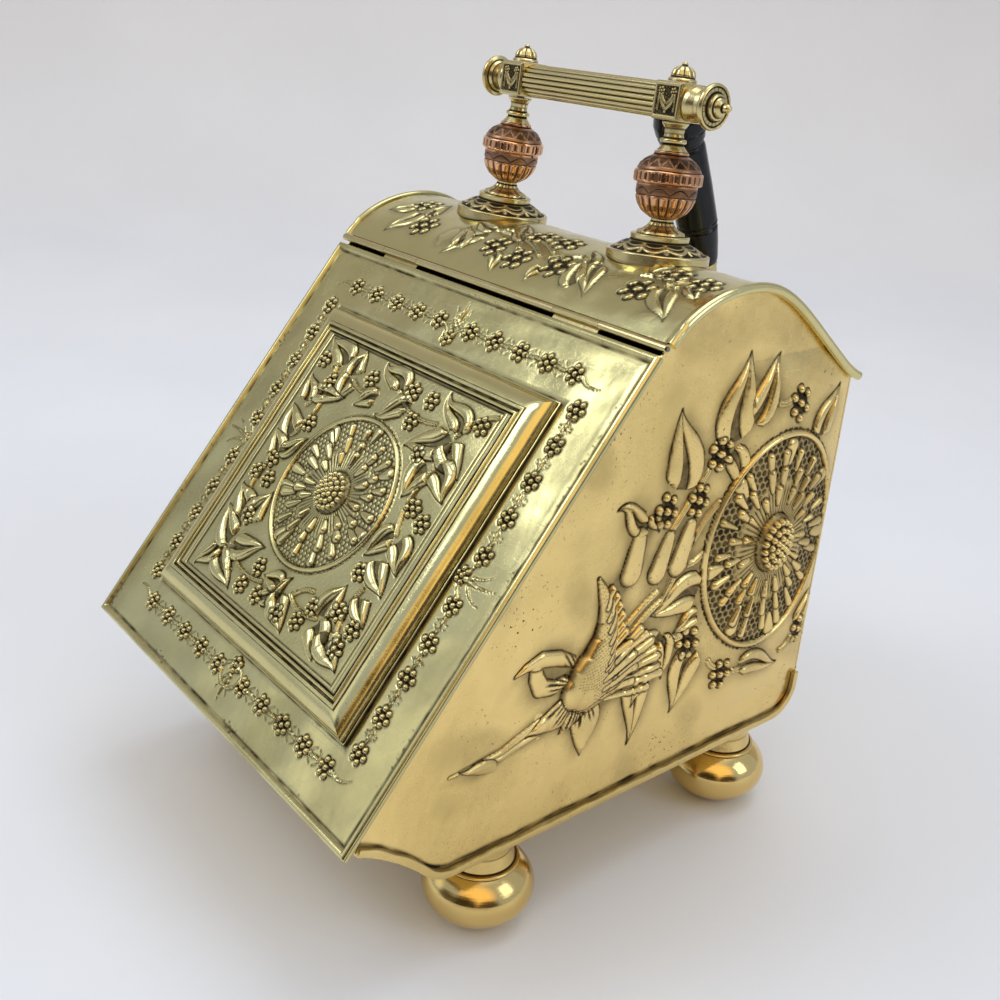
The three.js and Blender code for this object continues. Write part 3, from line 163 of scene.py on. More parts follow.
def side_name(side):
    """The name of a side from its sign."""
    return "right" if side > 0 else "left"


# ---------------------------------------------------------------- relief
class Relief:
    """A height field over a grid: a runs along the rows, b along the columns, both in millimetres."""

    def __init__(self, a, b):
        self.a, self.b = a, b
        self.h = np.zeros(a.shape)
        self.dark = np.zeros(a.shape)

    def window(self, a0, a1, b0, b1):
        """The grid's part between these limits, or None."""
        axis = self.a[:, 0]
        rows = slice(np.searchsorted(axis, a0), np.searchsorted(axis, a1))
        hit = ((self.b[rows] > b0) & (self.b[rows] < b1)).any(0) if rows.stop > rows.start else np.array([])
        if not hit.any():
            return None
        columns = np.flatnonzero(hit)
        return rows, slice(columns[0], columns[-1] + 1)

    def near(self, points, reach):
        """The grid's part within reach of the points' own box, or None."""
        points = np.asarray(points, float)
        low, high = points.min(0) - reach, points.max(0) + reach
        return self.window(low[0], high[0], low[1], high[1])

    def raise_to(self, area, height, inside):
        self.h[area] = np.where(inside, np.maximum(self.h[area], height), self.h[area])

    def shade(self, area, inside, tone, beside):
        """Sets the patina inside a form, and deepens it to beside outside it."""
        self.dark[area] = np.where(inside, tone, np.maximum(self.dark[area], beside))

    def engrave(self, area, depth, shade):
        self.h[area] -= depth
        self.dark[area] = np.maximum(self.dark[area], shade)


def arc_points(start, end, bend, steps=12):
    """A bowed line from start to end; bend is its sag as a share of its length, or two sags for an S."""
    start, end = np.asarray(start, float), np.asarray(end, float)
    along = end - start
    across = np.array([-along[1], along[0]])
    first, second = bend if isinstance(bend, tuple) else (bend, bend)
    t = np.linspace(0, 1, steps + 1)[:, None]
    c1 = start + along / 3 + across * first * 4 / 3
    c2 = start + along * 2 / 3 + across * second * 4 / 3
    return (1 - t) ** 3 * start + 3 * (1 - t) ** 2 * t * c1 + 3 * (1 - t) * t ** 2 * c2 + t ** 3 * end


def follow(line, a, b):
    """Share of the line's length and signed distance to its left, for each grid point."""
    steps = np.linalg.norm(np.diff(line, axis=0), axis=1)
    begun = np.concatenate([[0], np.cumsum(steps)])
    best = np.full(a.shape, 1e9)
    share, side = np.zeros(a.shape), np.zeros(a.shape)
    for k, length in enumerate(steps):
        if length < 1e-9:
            continue
        ux, uy = (line[k + 1] - line[k]) / length
        dx, dy = a - line[k, 0], b - line[k, 1]
        t = np.clip(dx * ux + dy * uy, 0, length)
        away = np.hypot(dx - t * ux, dy - t * uy)
        closer = away < best
        best = np.where(closer, away, best)
        share = np.where(closer, (begun[k] + t) / begun[-1], share)
        side = np.where(closer, np.where(ux * dy - uy * dx < 0, -away, away), side)
    return share, side, begun[-1]


def bell(x, width):
    """1 at x = 0, falling off softly over about the given width."""
    return np.exp(-(x / width) ** 2)


def ramp(x, low, high):
    """0 up to low, 1 from high on, and straight between."""
    return np.clip((x - low) / (high - low), 0, 1)


def plateau(x, low, full, fading, gone):
    """0 up to low, 1 between full and fading, and 0 again from gone on."""
    return ramp(x, low, full) * (1 - ramp(x, fading, gone))


def vault(x):
    """A round arch over -1 to 1, as high as 1."""
    return np.sqrt(np.clip(1 - x ** 2, 0, 1))


def most(first, *others):
    """The greatest of several fields, each spread to the common shape."""
    for other in others:
        first = np.maximum(first, other)
    return first


FULL_RELIEF = 2.6       # a leaf this high has an outline cut to full depth


def leaf(field, tip, base, half, bend, height, line, split=True):
    """An embossed leaf with an engraved outline: two swelling lobes that meet at the tip, or one."""
    spine = arc_points(base, tip, bend if isinstance(bend, tuple) else (bend, -0.3 * bend), 14)
    area = field.near(spine, half + 3 * line + 1)
    if area is None:
        return
    share, side, length = follow(spine, field.a[area], field.b[area])
    # widest a quarter of the way up, with a long drawn-out tip
    outer = half * share ** 0.4 * np.clip(1 - share, 0, 1) ** 1.2 / 0.407
    gap = 0.3 * half * np.clip(1 - share / 0.75, 0, 1) if split else -outer
    middle, reach = (outer + gap) / 2, np.maximum((outer - gap) / 2, 0.04)
    across = np.abs(np.abs(side) - middle) / reach
    outline = (across - 1) * reach
    inside = (across < 1) & (share > 0)
    body = height * np.clip(1 - across ** 2, 0, 1) ** 0.6 * np.clip(reach / (0.3 * half), 0.2, 1)
    veins = np.sin((share * length + 1.5 * np.abs(side)) * 2 * math.pi / (1.3 + 0.11 * half))
    veins = np.clip(veins - 0.65, 0, 1) * np.clip(1 - across, 0, 0.5) * 2
    kept = np.maximum(field.h[area] * 0.25, 0)
    field.h[area] = np.where(inside, kept + body - 0.15 * veins, field.h[area])
    field.dark[area] = np.where(inside, 0.4 * veins + 0.8 * bell(outline, 0.5 * line), field.dark[area])
    cut = bell(outline - 0.4 * line, 1.2 * line) * ~inside * (share > 0)
    if split:
        parting = (np.abs(side) < gap) * np.clip(2 - 2.6 * share, 0, 1) * (share > 0)
        cut = np.maximum(cut, 0.75 * parting * ~inside)
    field.engrave(area, 0.35 * height / FULL_RELIEF * cut, cut)


def shade_round_relief(field, reach, strength, above=0.5):
    """Painted shade on the ground round whatever stands up from it."""
    raised = field.h > above
    soft = raised.astype(float)
    width = 2 * reach + 1
    for axis in (0, 1):
        here = np.arange(soft.shape[axis])
        for _ in range(3):      # three running means make a smooth falling off
            before = np.repeat(np.take(soft, [0], axis), reach, axis)
            after = np.repeat(np.take(soft, [-1], axis), reach + 1, axis)
            padded = np.concatenate([before, soft, after], axis)
            total = np.cumsum(padded, axis)
            low = np.take(total, here, axis) - np.take(padded, here, axis)
            soft = (np.take(total, here + width - 1, axis) - low) / width
    field.dark = np.maximum(field.dark, strength * np.clip(2 * soft, 0, 1) * ~raised)


def berry(field, a, b, radius, height, slit=None):
    """A low bead with a dark crease round it; one with a slit, at its angle, is long and grooved."""
    area = field.window(a - radius * 2, a + radius * 2, b - radius * 2, b + radius * 2)
    if area is None:
        return
    x, y = field.a[area] - a, field.b[area] - b
    groove = 0.0
    if slit is not None:
        x, y = x * math.cos(slit) + y * math.sin(slit), y * math.cos(slit) - x * math.sin(slit)
        y = y * 1.22
        groove = bell(y / radius, 0.13) * (np.abs(x) < 0.75 * radius)
        x = x / 1.12
    away = np.hypot(x, y) / radius
    dome = height * vault(away) - 0.22 * height * groove
    inside = away < 1
    top = np.where(inside, np.clip(field.h[area], 0, 0.3 * height) + dome, field.h[area])
    field.h[area] = np.maximum(field.h[area], top)
    face = np.maximum(field.dark[area] * 0.1, 0.6 * groove)
    field.dark[area] = np.where(away < 0.86, face, field.dark[area])
    crease = bell(away - 1.16, 0.26)
    field.engrave(area, 0.25 * height * crease * (away > 1), crease)


RING_BEADS = 6
TIGHT, LOOSE = 2.12, 2.45       # a cluster's pitch, in radii of its beads


def cluster(field, a, b, radius, height, turn, pitch=TIGHT, spread=1.0, slit=None):
    """A bead with a ring of beads round it; spread draws the ring out along b."""
    span = (pitch + 0.45) * radius
    area = field.window(a - span, a + span, b - span * spread, b + span * spread)
    if area is not None:
        away = np.hypot(field.a[area] - a, (field.b[area] - b) / spread) / span
        field.dark[area] = np.maximum(field.dark[area], 0.9 * ramp(1 - away, 0, 0.2))
    for k in range(RING_BEADS):
        angle = turn + 2 * math.pi * k / RING_BEADS
        reach = pitch * radius * (1 + 0.05 * rng.standard_normal())
        at_a, at_b = a + reach * math.cos(angle), b + reach * math.sin(angle) * spread
        berry(field, at_a, at_b, radius, height, slit)
    berry(field, a, b, radius, height * 1.12, slit)


def stem(field, points, width, height, taper=0.0):
    """A thin stalk of two ridges; taper draws it out to a point."""
    line = np.asarray(points, float)
    area = field.near(line, 2.5 * width)
    if area is None:
        return
    share, side, _ = follow(line, field.a[area], field.b[area])
    half = width / 2 * (1 - taper * share)
    across = np.abs(side) / np.maximum(half, 0.05)
    inside = across < 1
    ridge = height * (1 - 0.6 * taper * share) * vault(across)
    field.raise_to(area, ridge * (1 - 0.6 * bell(across, 0.3)), inside)
    field.dark[area] = np.where(inside, 0.5 * bell(across, 0.22), field.dark[area])
    outline = np.abs(side) - half
    cut = bell(outline - 0.25, 0.35) * ~inside
    field.engrave(area, 0.18 * cut, 0.75 * cut)


def honeycomb(a, b, pitch):
    """Nearness to the walls of a hexagonal lattice, 0 in a cell's middle and 1 on its wall."""
    row = math.sqrt(3) / 2 * pitch
    nearest, second = np.full(a.shape, 1e9), np.full(a.shape, 1e9)
    base = np.floor(b / row)
    for step in (-1, 0, 1, 2):
        j = base + step
        shift = (j % 2) * 0.5 * pitch
        i = np.round((a - shift) / pitch)
        for side in (-1, 0, 1):
            away = np.hypot(a - ((i + side) * pitch + shift), b - j * row)
            second = np.minimum(second, np.maximum(nearest, away))
            nearest = np.minimum(nearest, away)
    return np.clip(1 - (second - nearest) / (0.42 * pitch), 0, 1)


BOSS_SHARE = 0.26       # the boss's radius, as a share of the medallion's
PETAL_ROWS = (
    # where a petal begins and ends and its half width, as shares of the medallion's radius, outer row first
    (0.64, 0.82, 0.047), (0.50, 0.65, 0.045), (0.36, 0.49, 0.040),
)
PODS = 7                # short fat petals by the ring
PETAL_START = 0.38      # a petal's width where it begins, as a share of its full one


def medallion(field, a, b, ra, rb, *, cell, ring, boss, petal, bead, petals, girth, sunk=False):
    """A sunflower in a ring: honeycomb ground, three rows of drop-shaped petals and a beaded boss.

    cell is the honeycomb's pitch, ring the ring's width, boss and petal are heights, bead is a radius and
    petals counts each row. A sunk honeycomb has dark cells, the other one dark walls.
    """
    area = field.window(a - ra - 4, a + ra + 4, b - rb - 4, b + rb + 4)
    x, y = field.a[area] - a, field.b[area] - b
    mean = math.sqrt(ra * rb)
    share = np.hypot(x / ra, y / rb)
    angle = np.arctan2(y / rb, x / ra)
    inside = share < 1
    h = np.where(inside, 0.0, field.h[area])
    dark = np.where(inside, 0.35, field.dark[area])
    walls = honeycomb(x, y, cell)
    ground = inside & (share > BOSS_SHARE)
    fine = np.clip(walls * 1.5 - 0.4, 0, 1)
    h = np.where(ground, 0.09 * cell * (walls - 0.5) * (1 if sunk else -1), h)
    dark = np.where(ground, 0.88 - 0.5 * fine if sunk else 0.35 + 0.6 * fine, dark)
    # fine rays between the boss and the petals
    rays = np.abs(np.sin(angle * 30))
    zone = np.clip((0.58 - share) / 0.1, 0, 1) * inside
    h = np.where(zone > 0, zone * 0.2 * petal * rays + (1 - zone) * h, h)
    dark = np.where(zone > 0, np.maximum(dark * (1 - zone), (0.95 - 0.7 * rays) * zone), dark)
    field.h[area], field.dark[area] = h, dark

    def spot(share, turn):
        return a + ra * share * math.cos(turn), b + rb * share * math.sin(turn)

    for k in range(PODS):
        turn = 2 * math.pi * (k + 0.3 + 0.25 * rng.uniform(-1, 1)) / PODS
        reach = rng.uniform(0.84, 0.88)
        drop(field, spot(reach - 0.14, turn), spot(reach, turn), 0.075 * mean, 0.9 * petal, PETAL_START)
    for k, ((start, end, half), count) in enumerate(zip(PETAL_ROWS, petals)):
        for i in range(count):
            turn = 2 * math.pi * (i + 0.5 * (k % 2) + 0.16 * rng.uniform(-1, 1)) / count
            reach = 1 + 0.05 * rng.uniform(-1, 1)
            wide = girth * half * mean * (1 + 0.15 * rng.uniform(-1, 1))
            high = petal * (1 + 0.12 * k)
            drop(field, spot(start, turn), spot(end * reach, turn), wide, high, PETAL_START)
    # the boss
    x, y = field.a[area] - a, field.b[area] - b
    away = np.hypot(x / ra, y / rb) * mean
    radius = BOSS_SHARE * mean
    dome = boss * vault(away / radius) ** 0.9
    on = away < radius
    skirt_cut = bell(away - radius, 0.05 * radius)
    field.h[area] = np.where(on, np.maximum(dome - 0.3 * bead, 0), field.h[area] - 0.4 * bead * skirt_cut)
    gaps = 0.95 - 0.45 * ramp(away / radius, 0.86, 0.96)
    field.shade(area, on, gaps, skirt_cut)
    step = 2.06 * bead
    ringed = int(radius / step) + 1
    for k in range(ringed):
        reach = k * step
        slope = math.sqrt(max(1 - (reach / radius) ** 2, 0.06))
        count = max(1, round(2 * math.pi * reach / (1.03 * step)))
        for i in range(count):
            middle = spot(reach / mean, 2 * math.pi * (i + 0.5 * k) / count)
            bead_on(field, *middle, bead * 0.98, boss * slope ** 0.9 - 0.3 * bead, bead * 0.95)
    # the ring
    rim = (share - (1 - ring / mean)) * mean
    band = vault(rim / (ring / 2))
    on = np.abs(rim) < ring / 2
    edge = bell(np.abs(rim) - ring / 2 - 0.35, 0.55) * ~on
    field.h[area] = np.where(on, 0.62 * ring * band, field.h[area] - 0.3 * edge)
    field.shade(area, on, 0.0, edge)


def drop(field, start, end, half, height, slim, ride=0.0):
    """A petal like a drop: slim is its start's share of the width, ride its share of the ground."""
    line = arc_points(start, end, 0.0, 1)
    area = field.near(line, half * 2.2)
    if area is None:
        return
    share, side, _ = follow(line, field.a[area], field.b[area])
    past = np.hypot(field.a[area] - end[0], field.b[area] - end[1])
    width = half * (slim + (1 - slim) * np.clip(share, 0, 1) ** 0.7)
    away = np.where(share >= 1, past, np.abs(side)) / width
    inside = away < 1
    swell = height * (0.55 + 0.45 * share) * vault(away)
    swell = np.maximum(swell, ride * field.h[area] + 0.55 * swell) if ride else swell
    field.raise_to(area, swell, inside)
    field.shade(area, inside, 0.7 * bell(away - 1, 0.16), bell((away - 1) * width - 0.2, 0.65))


def bead_on(field, a, b, radius, foot, height):
    """A bead that stands on a dome whose height there is foot."""
    area = field.window(a - radius * 1.2, a + radius * 1.2, b - radius * 1.2, b + radius * 1.2)
    if area is None:
        return
    away = np.hypot(field.a[area] - a, field.b[area] - b) / radius
    inside = away < 1
    field.raise_to(area, foot + height * vault(away), inside)
    face = np.minimum(field.dark[area], 0.9 * np.clip(away * 5 - 4.1, 0, 1))
    field.dark[area] = np.where(inside, face, field.dark[area])


def waves(a, b, size, seed, count=9):
    """Soft irregular undulation, about -1 to 1, with bumps of about the given size."""
    source = np.random.default_rng(seed)
    total = np.zeros(np.broadcast(a, b).shape)
    for _ in range(count):
        angle, phase = source.uniform(0, 2 * math.pi, 2)
        pace = 2 * math.pi / (size * source.uniform(0.7, 2.2))
        total += np.sin(pace * (a * math.cos(angle) + b * math.sin(angle)) + phase)
    return total / math.sqrt(count)


# ---------------------------------------------------------------- materials
def mixed(nodes, links, factor, first, second):
    """A blend of two colours, each a tuple or a socket, by a factor's socket."""
    node = nodes.new("ShaderNodeMix")
    node.data_type = "RGBA"
    links.new(factor, node.inputs["Factor"])
    for key, value in (("A", first), ("B", second)):
        socket = next(s for s in node.inputs if s.name == key and s.type == "RGBA")
        if isinstance(value, tuple):
            socket.default_value = (*value, 1)
        else:
            links.new(value, socket)
    return next(s for s in node.outputs if s.type == "RGBA")


SCRATCHES = (
    # stretch of the noise that makes thin lines, and its turn
    ((0.6, 14, 14), (0.3, 0.5, 0.2)), ((14, 0.6, 14), (0.9, 0.2, 0.4)), ((14, 14, 0.6), (0.2, 0.7, 0)),
)


def brass(name, bright, deep, patina_and_shade, roughness, pits, streak, haze):
    """Worn sheet or cast brass: bright metal, deeper clouds, patina and painted shade in creases and round the
    relief, pits and scratches.
    """
    material = bpy.data.materials.new(name)
    material.use_nodes = True
    nodes, links = material.node_tree.nodes, material.node_tree.links
    shader = nodes["Principled BSDF"]
    shader.inputs["Metallic"].default_value = 1.0
    where = nodes.new("ShaderNodeTexCoord").outputs["Object"]

    def noise(scale, detail, stretch=None, turn=(0, 0, 0), distortion=0.0):
        source = where
        if stretch:
            mapping = nodes.new("ShaderNodeMapping")
            mapping.inputs["Scale"].default_value = stretch
            mapping.inputs["Rotation"].default_value = turn
            links.new(where, mapping.inputs["Vector"])
            source = mapping.outputs["Vector"]
        texture = nodes.new("ShaderNodeTexNoise")
        texture.inputs["Scale"].default_value = scale
        texture.inputs["Detail"].default_value = detail
        texture.inputs["Roughness"].default_value = 0.6
        texture.inputs["Distortion"].default_value = distortion
        links.new(source, texture.inputs["Vector"])
        return texture.outputs["Fac"]

    def between(value, low, high, to_low=0.0, to_high=1.0):
        node = nodes.new("ShaderNodeMapRange")
        for key, number in (("From Min", low), ("From Max", high), ("To Min", to_low), ("To Max", to_high)):
            node.inputs[key].default_value = number
        links.new(value, node.inputs["Value"])
        return node.outputs["Result"]

    def maths(operation, first, second):
        node = nodes.new("ShaderNodeMath")
        node.operation = operation
        for socket, value in zip(node.inputs, (first, second)):
            if isinstance(value, (int, float)):
                socket.default_value = value
            else:
                links.new(value, socket)
        return node.outputs[0]

    # the attribute holds patina in the hollows, and painted shade round the relief, in the hollows of turned
    # profiles and over the side panels
    attribute = nodes.new("ShaderNodeAttribute")
    attribute.attribute_name = "patina_and_shade"
    crease = attribute.outputs["Fac"]
    clouds = between(noise(9, 5, distortion=0.6), 0.38, 0.68)
    fine = noise(160, 6)
    grime_and_shade = maths("MULTIPLY", crease, between(fine, 0.2, 0.75, 0.85, 1.3))
    spots = between(noise(420, 2), 0.70 - 0.06 * pits, 0.76 - 0.06 * pits)
    spots = maths("MULTIPLY", spots, between(noise(14, 3), 0.45, 0.62))
    spots = maths("MULTIPLY", spots, min(1.0, pits))
    scratches = [between(noise(60, 2, stretch, turn), 0.63, 0.72) for stretch, turn in SCRATCHES]
    scratch = maths("MAXIMUM", maths("MAXIMUM", scratches[0], scratches[1]), scratches[2])
    colour = mixed(nodes, links, maths("MULTIPLY", clouds, haze), bright, deep)
    stain_and_shade = maths("MINIMUM", maths("MAXIMUM", grime_and_shade, spots), 1.0)
    colour = mixed(nodes, links, stain_and_shade, colour, patina_and_shade)
    links.new(colour, shader.inputs["Base Color"])
    gloss = between(maths("ADD", fine, clouds), 0.5, 1.5, roughness * 0.8, roughness * 1.35)
    gloss = maths("ADD", gloss, maths("MULTIPLY", stain_and_shade, 0.35))
    gloss = maths("ADD", gloss, maths("MULTIPLY", scratch, 0.12 * streak))
    links.new(gloss, shader.inputs["Roughness"])
    surface = maths("MULTIPLY", scratch, -0.5 * streak)
    surface = maths("ADD", surface, maths("MULTIPLY", fine, 0.35))
    surface = maths("ADD", surface, maths("MULTIPLY", spots, -0.8))
    surface = maths("ADD", surface, maths("MULTIPLY", noise(34, 3), 0.35))
    bump = nodes.new("ShaderNodeBump")
    bump.inputs["Strength"].default_value = 0.12
    bump.inputs["Distance"].default_value = 0.0012
    links.new(surface, bump.inputs["Height"])
    links.new(bump.outputs["Normal"], shader.inputs["Normal"])
    return material


def coated(name, colour, second, roughness, scale, specular, metallic):
    """A painted, lacquered or dull surface: two close tones in fine noise, with a slight bump."""
    material = bpy.data.materials.new(name)
    material.use_nodes = True
    nodes, links = material.node_tree.nodes, material.node_tree.links
    shader = nodes["Principled BSDF"]
    shader.inputs["Metallic"].default_value = metallic
    shader.inputs["Specular IOR Level"].default_value = specular
    where = nodes.new("ShaderNodeTexCoord").outputs["Object"]
    texture = nodes.new("ShaderNodeTexNoise")
    texture.inputs["Scale"].default_value = scale
    texture.inputs["Detail"].default_value = 6
    links.new(where, texture.inputs["Vector"])
    tones = nodes.new("ShaderNodeValToRGB")
    for element, position, tone in zip(tones.color_ramp.elements, (0.35, 0.7), (colour, second)):
        element.position = position
        element.color = (*tone, 1)
    links.new(texture.outputs["Fac"], tones.inputs["Fac"])
    links.new(tones.outputs["Color"], shader.inputs["Base Color"])
    rough = nodes.new("ShaderNodeMapRange")
    rough.inputs["To Min"].default_value = roughness * 0.8
    rough.inputs["To Max"].default_value = roughness * 1.25
    links.new(texture.outputs["Fac"], rough.inputs["Value"])
    links.new(rough.outputs["Result"], shader.inputs["Roughness"])
    bump = nodes.new("ShaderNodeBump")
    bump.inputs["Strength"].default_value = 0.15
    bump.inputs["Distance"].default_value = 0.0006
    links.new(texture.outputs["Fac"], bump.inputs["Height"])
    links.new(bump.outputs["Normal"], shader.inputs["Normal"])
    return material


PATINA_AND_SHADE, CAST_PATINA_AND_SHADE, COPPER_PATINA_AND_SHADE = (0.040, 0.027, 0.013), (0.03, 0.022, 0.011), (0.03, 0.018, 0.013)
BRASSES = {
    # bright metal, its deeper tone, patina and painted shade in the creases, roughness, pits, scratches, haze
    "lid_brass": ((0.72, 0.63, 0.30), (0.55, 0.48, 0.20), PATINA_AND_SHADE, 0.17, 0.3, 0.25, 0.6),
    "box_brass": ((0.93, 0.69, 0.27), (0.72, 0.53, 0.19), PATINA_AND_SHADE, 0.22, 0.9, 0.7, 0.8),
    "cast_brass": ((0.72, 0.59, 0.28), (0.46, 0.38, 0.17), CAST_PATINA_AND_SHADE, 0.2, 0.0, 0.25, 0.6),
    "polished_brass": ((0.78, 0.57, 0.22), (0.60, 0.42, 0.14), PATINA_AND_SHADE, 0.13, 0.2, 0.25, 0.5),
    "copper": ((0.82, 0.45, 0.24), (0.42, 0.20, 0.10), COPPER_PATINA_AND_SHADE, 0.14, 0.0, 0.25, 0.7),
}
COATINGS = {
    # two tones, roughness, scale of the noise, specular, metallic
    "steel": ((0.22, 0.21, 0.19), (0.32, 0.30, 0.27), 0.42, 90, 0.5, 1.0),
    "liner_steel": ((0.014, 0.014, 0.014), (0.03, 0.029, 0.028), 0.6, 60, 0.5, 0.0),
    "ebonised_wood": ((0.003, 0.003, 0.0035), (0.006, 0.0055, 0.0055), 0.16, 40, 0.3, 0.0),
}
FINISH = {
    **{slot: brass(slot, *values) for slot, values in BRASSES.items()},
    **{slot: coated(slot, *values) for slot, values in COATINGS.items()},
}
slot_of = {part["node"]: part["material_slot"] for part in frame["record"]["subparts"]}
for node_name, node in frame["nodes"].items():
    node.data.materials.clear()
    node.data.materials.append(FINISH[slot_of[node_name]])


# ---------------------------------------------------------------- sheets that carry relief
def lid_points(x, s, out):
    """Points from their places across the lid, down it and out from its datum."""
    return x[..., None] * ACROSS + s[..., None] * DOWN + out[..., None] * OUT


def compact(points, faces, patina_and_shade):
    """Drops the vertices that no face uses."""
    used = np.unique(np.concatenate([group.ravel() for group in faces]))
    renumber = np.zeros(len(points), int)
    renumber[used] = np.arange(len(used))
    return points[used], [renumber[group] for group in faces], patina_and_shade[used]


def profile(distance, marks):
    """Height at a distance, from (distance, height) marks."""
    marks = np.array(marks)
    return np.interp(distance, marks[:, 0], marks[:, 1])


def flat_cluster_row(field, spots, radius, height, along):
    """Berry clusters in a row, joined by short twin stems; along is 0 for a row in a and 1 for one in b."""
    for spot in spots:
        cluster(field, *spot, radius, height, 0.3 + 0.2 * rng.standard_normal(), LOOSE)
    gap = 3.8 * radius
    for first, second in zip(spots, spots[1:]):
        start, end = list(first), list(second)
        start[along] += gap
        end[along] -= gap
        if end[along] - start[along] < 1:
            continue
        bend = 0.12 * rng.choice([-1, 1])
        stem(field, arc_points(start, end, (bend, -bend), 6), 1.9, 0.9)
        for spot, way in ((start, 1), (end, -1)):
            for off in (-1, 1):
                tip = list(spot)
                tip[along] += way * 3.4
                tip[1 - along] += off * 4.6
                stem(field, arc_points(spot, tip, 0.15 * off * way, 4), 1.0, 0.6, 1.0)


def lid_border(field):
    """Rows of berry clusters round the moulding, with a sprig in the middle of each side."""
    radius, height = 1.8, 1.4
    for s, tip, spray in ((25, 8, 33), (269, 285, 262)):
        row = [(x, s) for x in (-107, -84, -61, -38, -15)]
        flat_cluster_row(field, row, radius, height, 0)
        flat_cluster_row(field, [(-x, y) for x, y in row][::-1], radius, height, 0)
        cluster(field, 0, spray, radius, height, 0.5)
        for side in (-1, 1):
            stem(field, arc_points((0, 0.55 * s + 0.45 * tip), (side * 10, s), side * 0.2, 6), 1.8, 0.9)
            stem(field, arc_points((side * 2, spray), (side * 12, s), -side * 0.15, 6), 1.8, 0.9)
            end = (side * 128, s + (3 if s < 100 else -4))
            stem(field, arc_points((side * 113, s), end, 0.15, 6), 2.4, 1.0, 1.0)
        stem(field, arc_points((0, s), (1, tip), 0.06, 6), 2.6, 1.3, 1.0)
        for off in (-3.2, 3.2):
            stem(field, arc_points((off * 0.5, s), (off * 1.9, tip * 0.7 + s * 0.3), 0.1, 6), 1.6, 0.9, 1.0)
    for side in (-1, 1):
        for half in ((43, 65, 87, 110, 133), (163, 186, 207, 230, 252)):
            flat_cluster_row(field, [(side * 122, s) for s in half], radius, height, 1)
        cluster(field, side * 116, 147, radius, height, 0.2)
        stem(field, arc_points((side * 119, 148), (side * 142, 146), 0.05, 6), 2.6, 1.3, 1.0)
        for off in (-9, 9):
            start, end = 148 + off * 0.3, 148 + off
            stem(field, arc_points((side * 124, start), (side * 137, end), 0.1, 6), 1.6, 0.9, 1.0)
            stem(field, arc_points((side * 117, start), (side * 121, end), 0.1, 6), 1.8, 0.9)


RIM_BEAD = (
    # distance from the sheet's edge, height: the bright bead and the groove beside it
    (0, 0.9), (0.6, 1.55), (1.5, 1.8), (2.5, 1.8), (3.4, 1.4), (4.1, 0.35),
    (4.7, -0.25), (6, -0.08), (8.5, 0),
)
RIM_LEVELS = (
    # inset and height of the rings that fold the rim down and in
    (0, -1.5), (0.35, -1.75), (0.35, -2.1), (0, -2.4),
    (0, -LID_RIM + 0.3), (0.3, -LID_RIM), (1.2, -LID_RIM), (1.2, -3.0),
)
LID_CELL, LID_HOLE_INSET = 0.6, 4


def make_lid_skin():
    """The lid's sheet with its rim and border. One flat face fills it under the moulding, out of sight."""
    x = np.linspace(-LID_HALF, LID_HALF, round(2 * LID_HALF / LID_CELL) + 1)
    s = np.linspace(0, LID_LENGTH, round(LID_LENGTH / LID_CELL) + 1)
    field = Relief(*np.meshgrid(x, s, indexing="ij"))
    a, b = field.a, field.b
    field.h += 0.14 * waves(a, b, 30, 3) + 0.012 * waves(a, b, 7, 4)
    lid_border(field)
    # painted shade on the ground round the relief
    shade_round_relief(field, 3, 0.3)
    rim = np.minimum(np.minimum(a + LID_HALF, LID_HALF - a), np.minimum(b, LID_LENGTH - b))
    fade = np.clip((rim - 5) / 6, 0, 1)
    out = LID_FIELD + field.h * fade + profile(rim, RIM_BEAD)
    near = np.maximum(np.abs(a) - MOULDING_HALF, np.abs(b - MOULDING_MIDDLE) - MOULDING_LENGTH / 2)
    mottle = 0.8 + 0.2 * waves(a, b, 14, 5)
    seam = np.clip(bell(rim - 5.1, 1.1) * mottle, 0, 1)
    crust = np.clip(bell(rim - 5.5, 2.2) * (waves(a, b, 2.6, 6) * waves(a, b, 30, 8) - 0.2), 0, 0.7)
    # soft random smudges, darker in a broad band inside the rim
    smudge_and_shade = 0.22 * np.clip(waves(a, b, 48, 7) + 0.5 * bell(rim - 8, 9), 0, 1)
    foot = np.clip(bell(near - 0.4, 1.4) * mottle, 0, 1)
    # the field dips a little beside the moulding, where the sheet is creased round its foot
    out -= 0.35 * bell(near - 0.6, 1.6)
    dark = np.maximum.reduce([field.dark * fade, 0.95 * seam, crust, 0.9 * foot, smudge_and_shade])
    rows, columns = a.shape
    index = numbered(rows, columns)
    hole_x, hole_s = MOULDING_HALF - LID_HOLE_INSET, MOULDING_LENGTH / 2 - LID_HOLE_INSET
    i0, i1 = np.searchsorted(x, [-hole_x, hole_x])
    j0, j1 = np.searchsorted(s, [MOULDING_MIDDLE - hole_s, MOULDING_MIDDLE + hole_s])
    keep = np.ones((rows - 1, columns - 1), bool)
    keep[i0:i1, j0:j1] = False
    cells = grid_faces(rows, columns).reshape(rows - 1, columns - 1, 4)[keep]
    hole = np.concatenate([index[i0:i1, j0], index[i1, j0:j1], index[i1:i0:-1, j1], index[i0, j1:j0:-1]])
    loop = border(rows, columns)
    rim_x, rim_s = a.ravel()[loop], b.ravel()[loop]
    rings, shades = [], []
    for inset, height in RIM_LEVELS:
        ring_x = np.clip(rim_x, -LID_HALF + inset, LID_HALF - inset)
        ring_s = np.clip(rim_s, inset, LID_LENGTH - inset)
        rings.append(lid_points(ring_x, ring_s, np.full(len(loop), height)))
        shades.append(np.full(len(loop), 0.8 if inset == 0.35 else 0.1))
    walls, last = skirt(loop, rows * columns, len(RIM_LEVELS))
    points = np.concatenate([lid_points(a, b, out).reshape(-1, 3), *rings])
    patina_and_shade = np.concatenate([dark.ravel(), *shades])
    points, faces, patina_and_shade = compact(points, [cells, walls, hole[None], last[None]], patina_and_shade)
    piece("lid_sheet", points, faces, "lid", "lid_brass", ["lid_skin"], patina_and_shade, 50)


